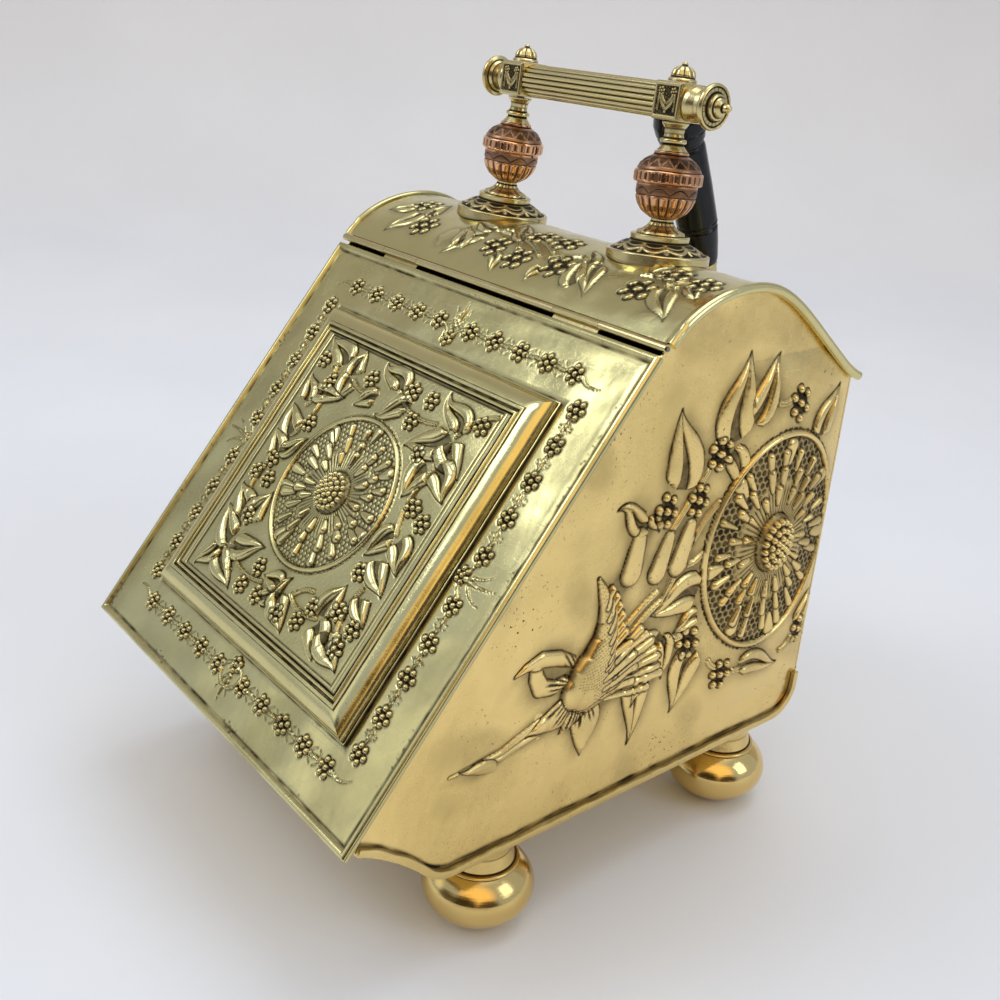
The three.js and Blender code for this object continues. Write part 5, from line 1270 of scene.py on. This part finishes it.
def turned(name, line, matrix, body, slot, replaces, sides, carve, soften, lengthwise=False, foot=None):
    """A turned piece from (radius, height) points. carve(angle, line) gives its carving and patina."""
    line = rounded(line, soften)
    line[:, 0] = np.maximum(line[:, 0], 0.04)
    angle = np.linspace(0, 2 * math.pi, sides, endpoint=False)
    radius = np.repeat(line[:, :1], sides, 1)
    height = np.repeat(line[:, 1:], sides, 1)
    # patina and painted shade in the hollows of the profile
    dark = np.repeat(hollows(line, 1.2)[:, None], sides, 1)
    if carve:
        grow, shade = carve(angle[None], line)
        radius = radius + grow
        dark = np.maximum(dark, shade)
    points = np.stack([radius * np.cos(angle), radius * np.sin(angle), height], -1)
    rows = len(line)
    index = numbered(rows, sides)
    around = np.roll(index, -1, 1)
    faces = [np.stack([index[:-1], around[:-1], around[1:], index[1:]], -1).reshape(-1, 4)]
    points, dark = points.reshape(-1, 3), dark.ravel()
    if foot is None:
        faces += [index[0][None, ::-1], index[-1][None]]
    else:
        lower, lower_faces = foot(points[:sides], index[0], rows * sides)
        points, dark = np.concatenate([points, lower]), np.concatenate([dark, np.full(len(lower), 0.5)])
        faces += [*lower_faces, index[-1][None]]
    if lengthwise:
        points = points[:, [2, 1, 0]] * np.array([1, -1, 1])
    points = moved(points, matrix)
    piece(name, points, faces, body, slot, replaces, np.clip(dark, 0, 1), 42)


HANDLE_Y, HANDLE_Z, HANDLE_TILT = 76.4, 26.6, math.radians(4.83)
PILLAR_HALF, SPLAY = 72.0, math.radians(2.6)
FLANGE, FLANGE_RIM, FLANGE_TOP, STEM = 30.2, 4.4, 14.2, 8.4
BOWL, BOWL_HEIGHT, BAND, BAND_HEIGHT, DOME_HEIGHT = 17.6, 19.0, 19.8, 7.0, 10.4
NECK_HEIGHT, NECK, BLOCK, GRIP, REEDS = 15.6, 5.4, 20.6, 10.0, 18
CAP, CAP_LENGTH, FINIAL, FINIAL_HEIGHT = 12.6, 28.0, 8.3, 10.9
stem_top = FLANGE_TOP + CLEARANCE + STEM
bowl_foot = stem_top + CLEARANCE
bowl_top = bowl_foot + BOWL_HEIGHT
band_foot = bowl_top + CLEARANCE
band_top = band_foot + BAND_HEIGHT
dome_foot = band_top + CLEARANCE
dome_top = dome_foot + DOME_HEIGHT
neck_foot = dome_top + CLEARANCE
neck_top = neck_foot + NECK_HEIGHT
block_foot = neck_top * math.cos(SPLAY) + CLEARANCE + (NECK + 2.2) * math.sin(SPLAY)
grip_height = block_foot + BLOCK / 2
block_half_spacing = PILLAR_HALF - grip_height * math.tan(SPLAY)


def handle_matrix(x, z, turn_y=0.0):
    """A place in the handle's own upright frame, which leans with the cover."""
    return placed((0, HANDLE_Y, HANDLE_Z), -HANDLE_TILT, (x, 0, z), turn_y)


def repeated(angle, count, power):
    """Rounded lobes, count times round, from 0 in the furrows to 1 on the crests."""
    return np.abs(np.sin(angle * count / 2)) ** power


def flange_carve(angle, line):
    """Festoons between pendants, with small dots above, on the cone of the flange."""
    r, h = line[:, :1], line[:, 1:]
    swags = 10
    phase = (angle * swags / (2 * math.pi)) % 1
    cone = plateau(r, FLANGE - 12.6, FLANGE - 11.8, FLANGE - 3.2, FLANGE - 2.4)
    cone = cone * (h > FLANGE_RIM - 1)
    place = np.clip((r - (FLANGE - 12.6)) / 10, 0, 1)
    sag = place - (0.30 + 0.42 * np.sin(math.pi * phase) ** 0.8)
    swag = bell(sag, 0.10)
    inner = bell(place - (0.15 + 0.25 * np.sin(math.pi * phase) ** 0.8), 0.05)
    wide = 2 * math.pi * r / swags
    off = np.minimum(phase, 1 - phase) * wide
    pendant = bell(off, 0.9) * plateau(place, 0.22, 0.3, 0.80, 0.9)
    dots = bell(np.hypot(np.abs(phase - 0.5) * wide, (place - 0.92) * 10), 0.9)
    dots = np.maximum(dots, bell(np.hypot(off, (place - 0.08) * 10), 1.0))
    form = most(swag, 0.6 * inner, pendant, dots)
    return 1.1 * form * cone, cone * np.clip(1.0 - 1.35 * form, 0, 1)


def stem_carve(angle, line):
    """Upright leaves round the waist."""
    r, h = line[:, :1], line[:, 1:]
    leafy = plateau(h, FLANGE_TOP + 0.6, FLANGE_TOP + 2, stem_top - 1.6, stem_top - 0.9)
    lobes = repeated(angle, 12, 0.7)
    return leafy * (0.13 * r * (lobes - 0.6)), leafy * np.clip(0.9 - 1.6 * lobes, 0, 1)


def bowl_carve(angle, line):
    """Gadroons round the lower half and a chased leaf band above."""
    rise = (line[:, 1:] - bowl_foot) / BOWL_HEIGHT
    low = plateau(rise, 0.02, 0.1, 0.60, 0.66)
    lobes = repeated(angle, 18, 0.6)
    high = plateau(rise, 0.66, 0.7, 0.93, 0.96)
    leaves = bell((rise - 0.70 - 0.17 * np.abs(np.sin(angle * 4.5))) * BOWL_HEIGHT, 0.38)
    groove = bell((rise - 0.66) * BOWL_HEIGHT, 0.5)
    grow = low * 1.1 * (lobes - 0.75) - high * 0.3 * leaves - 0.35 * groove
    furrows, ground = np.clip(1.4 - 1.8 * lobes, 0, 1), np.clip(0.58 + 0.5 * leaves, 0, 0.9)
    return grow, most(low * furrows, high * ground, 0.9 * groove)


def band_carve(angle, line):
    """Upright slots all round."""
    r, h = line[:, :1], line[:, 1:]
    rise = (h - band_foot) / BAND_HEIGHT
    face = plateau(rise, 0.16, 0.24, 0.76, 0.84) * (r > BAND - 1.6)
    slots = ramp(np.sin(angle * 28), 0.35, 0.8)
    return -0.6 * slots * face, 0.85 * slots * face


def dome_carve(angle, line):
    """A zigzag of small beads between a plain lower ring and a plain shoulder."""
    rise = (line[:, 1:] - dome_foot) / DOME_HEIGHT
    face = plateau(rise, 0.14, 0.2, 0.66, 0.72)
    teeth = 14
    phase = (angle * teeth / (2 * math.pi)) % 1
    beads = 0.25 + 0.75 * repeated(angle, 8 * teeth, 1)
    zigzag = bell((rise - 0.2 - 0.42 * np.abs(2 * phase - 1)) * 12, 0.62) * beads
    return face * (0.6 * zigzag - 0.2), np.maximum(0.5, face * np.clip(0.8 - zigzag, 0, 1)) * (rise < 0.75)


def flange_foot(matrix):
    """Builds the rings under a flange, laid on the cover's curve."""
    def rest(points):
        for _ in range(4):
            here = moved(points, matrix)
            points = points.copy()
            points[:, 2] += cover_height(here[:, 1]) + 0.25 - here[:, 2]
        return points

    def build(rim, loop, first):
        rings = [rest(rim * np.array([share, share, 1])) for share in (1.0, 0.66, 0.33)]
        middle = rest(rim.mean(0, keepdims=True))
        faces, last = skirt(loop, first, 3)
        centre = first + 3 * len(loop)
        fan = np.stack([last, np.roll(last, -1), np.full(len(last), centre)], -1)
        return np.concatenate([*rings, middle]), [faces[:, ::-1], fan[:, ::-1]]
    return build


PLATE, PLATE_SUNK = 0.8, 0.15       # the carved plate on a block: thickness, and how far it is let in


def block_face():
    """A raised frame round a matted panel with two rosettes and a draped swag."""
    half = BLOCK / 2 - 0.5
    axis = np.linspace(-half, half, 72)
    field = Relief(*np.meshgrid(axis, axis, indexing="ij"))
    a, b = field.a, field.b
    edge = half - np.maximum(np.abs(a), np.abs(b))
    sunk = ramp(edge, 1.6, 2.1)
    field.h = 0.55 * (1 - sunk) * ramp(edge, 0, 0.4) + 0.08 * waves(a, b, 0.9, 61) * sunk
    field.dark = sunk * np.clip(0.9 + 0.2 * waves(a, b, 0.9, 61), 0, 1)
    for side in (-1, 1):
        cluster(field, side * 4.6, 4.8, 0.85, 0.7, 0.2, 2.0)
        stem(field, [(side * 5.6, 3.0), (side * 3.2, -1.4), (side * 1.4, -3.6), (0, -5.0)], 1.9, 0.7)
        stem(field, [(side * 4.2, 3.0), (side * 2.6, 0.6), (side * 0.6, -1.6)], 1.2, 0.5)
        stem(field, [(side * 5.9, 3.0), (side * 6.2, -2.0), (side * 6.0, -5.4)], 1.4, 0.6, 0.3)
    berry(field, 0, -6.0, 0.9, 0.7)
    return field


def rounded_box(name, half, matrix, body, slot, replaces):
    """A block with eased edges."""
    made = bmesh.new()
    bmesh.ops.create_cube(made, size=2)
    bmesh.ops.scale(made, vec=Vector(half), verts=made.verts)
    bmesh.ops.bevel(made, geom=made.edges[:], offset=0.7, segments=3, affect="EDGES", profile=0.6)
    bmesh.ops.triangulate(made, faces=made.faces[:])
    points = np.array([tuple(matrix @ v.co) for v in made.verts])
    faces = np.array([[v.index for v in f.verts] for f in made.faces])
    made.free()
    piece(name, points, [faces], body, slot, replaces, np.full(len(points), 0.05), 30)


def make_pillar(side):
    """One pillar of the handle: flange, stem, copper urn in three pieces, neck and square block."""
    name = side_name(side)
    matrix = handle_matrix(side * PILLAR_HALF, 0, -side * SPLAY)
    flange_line = [
        (FLANGE, 0), (FLANGE, FLANGE_RIM - 0.5), (FLANGE - 0.5, FLANGE_RIM),
        (FLANGE - 2, FLANGE_RIM + 0.2), (FLANGE - 2.5, FLANGE_RIM - 0.3),
        (FLANGE - 3.3, FLANGE_RIM + 0.3), (FLANGE - 6.5, FLANGE_RIM + 2.2),
        (FLANGE - 10.5, FLANGE_RIM + 4.7), (FLANGE - 13.1, FLANGE_TOP - 4.0),
        (FLANGE - 13.2, FLANGE_TOP - 3.2), (FLANGE - 12.9, FLANGE_TOP - 0.5),
        (FLANGE - 13.8, FLANGE_TOP), (3, FLANGE_TOP),
    ]
    parts = (
        ("flange", flange_line, "cast_brass", flange_carve, 160, f"pillar_flange_{name}"),
        ("stem", [
            (3, FLANGE_TOP + 0.3), (14.3, FLANGE_TOP + 0.3), (13.4, FLANGE_TOP + 1.5), (10, FLANGE_TOP + 3),
            (7.6, FLANGE_TOP + 5), (6.4, stem_top - 1.6), (6.7, stem_top), (3, stem_top),
        ], "cast_brass", stem_carve, 96, f"pillar_stem_{name}"),
        ("bowl", [
            (3, bowl_foot), (BOWL * 0.46, bowl_foot), (BOWL * 0.52, bowl_foot + 0.9),
            (BOWL * 0.74, bowl_foot + 3.6), (BOWL * 0.89, bowl_foot + 7.2),
            (BOWL * 0.97, bowl_foot + 11), (BOWL, bowl_foot + 14.6), (BOWL, bowl_top), (3, bowl_top),
        ], "copper", bowl_carve, 144, f"urn_bowl_{name}"),
        ("belt", [
            (3, band_foot), (BAND - 0.7, band_foot), (BAND, band_foot + 0.7), (BAND, band_top - 0.7),
            (BAND - 0.7, band_top), (3, band_top),
        ], "copper", band_carve, 192, f"urn_band_{name}"),
        ("dome", [
            (3, dome_foot), (BAND - 1.2, dome_foot), (BAND - 1.7, dome_foot + 1.4),
            (BAND - 3.6, dome_foot + 4), (BAND - 6.4, dome_foot + 6.6), (BAND - 9.6, dome_foot + 8.3),
            (BAND - 9.9, dome_foot + 8.6), (BAND - 9.9, dome_top - 0.3), (BAND - 10.4, dome_top),
            (3, dome_top),
        ], "copper", dome_carve, 168, f"urn_dome_{name}"),
        ("neck", [
            (3, neck_foot), (9, neck_foot), (7.9, neck_foot + 1.3), (6.2, neck_foot + 3.4),
            (6.2, neck_foot + 4), (7.4, neck_foot + 4.4), (7.7, neck_foot + 5.4), (7.4, neck_foot + 6.4),
            (NECK + 0.5, neck_foot + 6.9), (NECK, neck_foot + 9.4), (NECK + 0.3, neck_foot + 12.2),
            (NECK + 2.2, neck_top - 0.8), (NECK + 2.2, neck_top), (3, neck_top),
        ], "cast_brass", None, 64, f"pillar_neck_{name}"),
    )
    for part, line, slot, carve, sides, node in parts:
        turned(
            f"{part}_{name}", line, matrix, "box", slot, [node], sides, carve, 0.22,
            foot=flange_foot(matrix) if part == "flange" else None,
        )
    centre = handle_matrix(side * block_half_spacing, grip_height)
    block_half = (BLOCK / 2 - 0.1, BLOCK / 2 - 0.6, BLOCK / 2)
    rounded_box(f"block_{name}", block_half, centre, "box", "cast_brass", [f"handle_block_{name}"])
    for way, face in ((-1, "front"), (1, "rear")):
        field = block_face()
        a, b = field.a, field.b
        loop = border(*a.shape)
        outer = np.stack([a, way * (BLOCK / 2 - PLATE_SUNK + field.h), b], -1)
        inner = outer.reshape(-1, 3)[loop]
        inner[:, 1] = way * (BLOCK / 2 - PLATE_SUNK - PLATE)
        relief_sheet(
            f"block_{face}_{name}", moved(outer, centre), moved(inner, centre), field.dark, 0.4,
            "box", "cast_brass", (), 50,
        )


def cap_carve(angle, line):
    """A ring of short leaves on the disc's face."""
    r, h = line[:, :1], line[:, 1:]
    face = (h > 16.6) * plateau(r, 7.4, 7.8, CAP - 1.8, CAP - 1.4)
    lobes = repeated(angle, 20, 0.6)
    return 0.0, face * np.clip(1.1 - 1.5 * lobes, 0, 1)


def finial_carve(angle, line):
    """Ribs from the foot up to the knob."""
    r, h = line[:, :1], line[:, 1:]
    ribs = plateau(h, 2.6, 3.2, 8.4, 8.9)
    lobes = repeated(angle, 8, 0.6)
    return ribs * 0.17 * r * (lobes - 0.8), ribs * np.clip(1 - 1.6 * lobes, 0, 1)


def reed_carve(angle, line):
    """Reeds along the grip."""
    outside = line[:, :1] > GRIP - 2
    reeds = repeated(angle, REEDS, 0.8) * outside
    return 1.3 * (reeds - 1) * outside, np.clip(1.5 - 2.3 * reeds, 0, 1) * outside


def make_handle():
    """Both pillars with their end caps and finials, and the grip between them."""
    for side in (-1, 1):
        name = side_name(side)
        make_pillar(side)
        cap_line = [
            (0, 0.3), (9.6, 0.3), (10, 1.6), (9.7, 4), (8.4, 8), (8.1, 11.4), (9.8, 14),
            (CAP - 0.2, 14.7), (CAP, 15.8), (CAP - 0.3, 17), (CAP - 1.5, 17.5), (CAP - 1.9, 16.7),
            (7.6, 16.9), (7.2, 17.6), (6.9, 19.2), (5.4, 19.8), (4.8, 21.4), (3.2, 22.4),
            (2, CAP_LENGTH - 4.9), (2.5, CAP_LENGTH - 3.5), (2.3, CAP_LENGTH - 1.7),
            (1.3, CAP_LENGTH - 0.4), (0, CAP_LENGTH),
        ]
        spot = handle_matrix(side * (block_half_spacing + BLOCK / 2 - 0.1), grip_height)
        if side < 0:
            spot = spot @ Matrix.Rotation(math.pi, 4, "Z")
        node = f"end_cap_{name}"
        turned(f"cap_{name}", cap_line, spot, "box", "cast_brass", [node], 96, cap_carve, 0.25, True)
        finial_line = [
            (0, 0.3), (FINIAL - 0.3, 0.3), (FINIAL, 1.2), (FINIAL - 0.8, 2.2), (6.9, 2.5), (7.1, 4),
            (6.3, 6.3), (4.3, 8.1), (1.9, 8.9), (1.6, 9.3), (1.8, 9.9), (1.1, FINIAL_HEIGHT - 0.2),
            (0, FINIAL_HEIGHT),
        ]
        spot = handle_matrix(side * block_half_spacing, grip_height + BLOCK / 2)
        node = f"finial_{name}"
        turned(f"finial_top_{name}", finial_line, spot, "box", "cast_brass", [node], 96, finial_carve, 0.2)
    grip_half = block_half_spacing - BLOCK / 2 + 0.1 - CLEARANCE
    grip_line = [(0, -grip_half), (GRIP, -grip_half), (GRIP, grip_half), (0, grip_half)]
    turned(
        "reeded_grip", grip_line, handle_matrix(0, grip_height), "box", "cast_brass", ["handle_grip"],
        216, reed_carve, 0.15, True,
    )


FOOT_X, FOOT_FRONT, FOOT_REAR = 126, -73.6, 135.7


def make_feet():
    """Four turned buns, each with a neck and a flange under the tray."""
    bun, bun_height, foot_height, flare, neck, base = 33.4, 46.8, 63.6, 23.0, 18.6, 14.0
    ring = 23.5
    middle = bun_height / 2
    top = foot_height - CLEARANCE
    low, high = -math.acos(base / bun), math.acos((ring - 0.9) / bun)
    arc = [(bun * math.cos(t), middle + middle * math.sin(t)) for t in np.linspace(low, high, 30)]
    crest = middle + middle * math.sin(high)
    line = [
        (0, 0), (base - 1, 0), *arc,
        (ring - 1.4, crest + 0.3), (ring, crest + 0.8), (ring, crest + 1.8), (ring - 0.7, crest + 2.3),
        (neck + 2.4, crest + 2.6), (neck, top - 12), (neck + 0.3, top - 7), (neck + 1.8, top - 3),
        (flare, top - 1), (flare, top), (0, top),
    ]
    for side in (-1, 1):
        for y, end in ((FOOT_FRONT, "front"), (FOOT_REAR, "rear")):
            which = f"{end}_{side_name(side)}"
            spot = placed((side * FOOT_X, y, -FLOOR_DROP - foot_height))
            node = f"bun_foot_{which}"
            turned(f"bun_{which}", line, spot, "box", "polished_brass", [node], 96, None, 0.3)


def make_shovel_grip():
    """The shovel's black handle with its turned grooves."""
    lean, reach, pan_top = math.radians(24), 216.6, -32.0
    socket_foot = (2 + 8.4 + 1) * math.tan(lean) + 3
    foot = socket_foot + 27 + CLEARANCE
    top, butt, grip, taper = foot + 118, 17.0, 14.0, 9.5
    line = [
        (0, foot), (taper, foot), (taper + 0.8, foot + 3), (taper + 2.6, foot + 14),
        (grip - 0.4, foot + 26), (grip - 1.3, foot + 27.5), (grip, foot + 29), (grip + 0.4, foot + 55),
        (grip + 0.2, top - 34), (grip - 0.7, top - 30), (grip + 0.8, top - 28), (butt - 0.4, top - 20),
        (butt, top - 14), (butt - 1.6, top - 7), (butt - 6.4, top - 1.8), (0, top),
    ]

    def grooves(angle, line):
        h = line[:, 1:]
        cuts = sum(bell(h - spot, 0.55) for spot in (foot + 28, foot + 31, top - 31, top - 28.5, top - 22))
        return -0.6 * cuts, 0.0

    matrix = placed((0, reach, pan_top), lean)
    turned("shovel_handle", line, matrix, "shovel", "ebonised_wood", ["shovel_grip"], 72, grooves, 0.6)


# ---------------------------------------------------------------- camera, light and floor
CAMERA_AT = (540.41, -429.76, 161.19)
CAMERA_AZIMUTH, CAMERA_ELEVATION, CAMERA_ROLL = (math.radians(d) for d in (49.568, 23.247, 3.961))
CAMERA_LENS, CAMERA_SENSOR = 42.12, 36.0


def make_camera():
    """The photo's viewpoint: place, turn, roll and lens."""
    azimuth, elevation = CAMERA_AZIMUTH, CAMERA_ELEVATION
    level_part = math.cos(elevation)
    back = Vector((math.sin(azimuth) * level_part, -math.cos(azimuth) * level_part, math.sin(elevation)))
    level = (-back).cross(Vector((0, 0, 1))).normalized()
    upright = level.cross(-back)
    right = math.cos(CAMERA_ROLL) * level + math.sin(CAMERA_ROLL) * upright
    up = math.cos(CAMERA_ROLL) * upright - math.sin(CAMERA_ROLL) * level
    data = bpy.data.cameras.new("camera")
    data.lens, data.sensor_width, data.sensor_fit = CAMERA_LENS, CAMERA_SENSOR, "AUTO"
    data.clip_start, data.clip_end = 0.02, 50
    camera = bpy.data.objects.new("camera", data)
    place = Matrix((right, up, back)).transposed().to_4x4()
    place.translation = (Vector(CAMERA_AT) + Vector(EDGE)) * MM
    camera.matrix_world = place
    bpy.context.scene.collection.objects.link(camera)
    bpy.context.scene.camera = camera


LIGHT_COLOUR, LIGHT_AIM = (0.89, 0.95, 1.0), (0, 0, 0.2)
LIGHTS = (
    # name, place and size in metres, power
    ("key", (-1.1, -1.5, 2.2), (1.2, 1.2), 16.5),
    ("right_fill", (2.2, 1.0, 1.5), (1.0, 1.4), 8.5),
    ("top", (0.0, 0.6, 2.6), (1.6, 1.6), 13.5),
)


def area_light(name, spot, size, power):
    data = bpy.data.lights.new(name, "AREA")
    data.shape = "RECTANGLE"
    data.size, data.size_y = size
    data.energy = power
    data.color = LIGHT_COLOUR
    light = bpy.data.objects.new(name, data)
    light.location = spot
    light.rotation_euler = (Vector(LIGHT_AIM) - Vector(spot)).to_track_quat("-Z", "Y").to_euler()
    bpy.context.scene.collection.objects.link(light)


TENT = (0.50, 0.56, 0.68)
WORLD_PATCHES = (
    # direction, cosine where the patch begins and where it is full, colour
    ((0.66, -0.56, 0.50), 0.76, 0.93, (1.45, 1.05, 0.52)),
    ((0.45, -0.88, 0.12), 0.84, 0.96, (0.05, 0.035, 0.02)),
    ((0.95, -0.30, 0.06), 0.90, 0.97, (0.09, 0.06, 0.035)),
    ((-0.15, -0.98, 0.12), 0.93, 0.98, (0.12, 0.10, 0.08)),
    ((-0.97, -0.20, 0.14), 0.93, 0.98, (0.15, 0.14, 0.12)),
    ((-0.55, -0.70, 0.30), 0.975, 0.992, (0.95, 0.98, 1.0)),
    ((-0.70, 0.22, 0.68), 0.84, 0.97, (1.02, 1.10, 1.3)),
    ((0.0, 0.1, 1.0), 0.84, 0.95, (1.0, 1.0, 1.0)),
)


def make_stage():
    """A pale floor that sweeps up into a backdrop, soft lights and a pale surrounding."""
    turns = np.linspace(0, math.pi / 2, 16)
    bend = np.stack([1.6 + 0.8 * np.sin(turns), 0.8 - 0.8 * np.cos(turns)], -1)
    run = np.concatenate([[(-6.0, 0.0)], bend, [(2.4, 5.0)]])     # away from the camera and up, in metres
    away = Vector((-math.sin(CAMERA_AZIMUTH), math.cos(CAMERA_AZIMUTH), 0))
    aside = Vector((away.y, -away.x, 0))
    mesh = bpy.data.meshes.new("floor_sweep")
    points = [away * u + aside * w + Vector((0, 0, v)) for u, v in run for w in (-6, 6)]
    faces = [(2 * i, 2 * i + 1, 2 * i + 3, 2 * i + 2) for i in range(len(run) - 1)]
    mesh.from_pydata(points, [], faces)
    for polygon in mesh.polygons:
        polygon.use_smooth = True
    floor = bpy.data.objects.new("floor_sweep", mesh)
    bpy.context.scene.collection.objects.link(floor)
    mesh.materials.append(coated("pale_paper", (0.77, 0.80, 0.86), (0.80, 0.83, 0.89), 0.55, 3, 0.5, 0.0))
    for light in LIGHTS:
        area_light(*light)
    make_world()


def make_world():
    """Pale all round, with a dim warm room behind the camera, as a metal surface sees it."""
    world = bpy.data.worlds.new("studio")
    world.use_nodes = True
    nodes, links = world.node_tree.nodes, world.node_tree.links
    ground = nodes["Background"]
    where = nodes.new("ShaderNodeTexCoord").outputs["Generated"]
    colour = TENT
    for way, low, high, tone in WORLD_PATCHES:
        dot = nodes.new("ShaderNodeVectorMath")
        dot.operation = "DOT_PRODUCT"
        dot.inputs[1].default_value = Vector(way).normalized()
        links.new(where, dot.inputs[0])
        share = nodes.new("ShaderNodeMapRange")
        share.interpolation_type = "SMOOTHSTEP"
        share.inputs["From Min"].default_value, share.inputs["From Max"].default_value = low, high
        links.new(dot.outputs["Value"], share.inputs["Value"])
        colour = mixed(nodes, links, share.outputs["Result"], colour, tone)
    # the camera itself sees only the plain surrounding
    seen = nodes.new("ShaderNodeLightPath").outputs["Is Camera Ray"]
    links.new(mixed(nodes, links, seen, colour, TENT), ground.inputs["Color"])
    ground.inputs["Strength"].default_value = 1.0
    bpy.context.scene.world = world
    bpy.context.scene.view_settings.view_transform = "Standard"


make_camera()
make_stage()
make_lid_skin()
make_centre_panel()
make_moulding()
make_side(1, 0.7)
make_side(-1, 1.0)
make_cover()
make_tray()
make_handle()
make_feet()
make_shovel_grip()
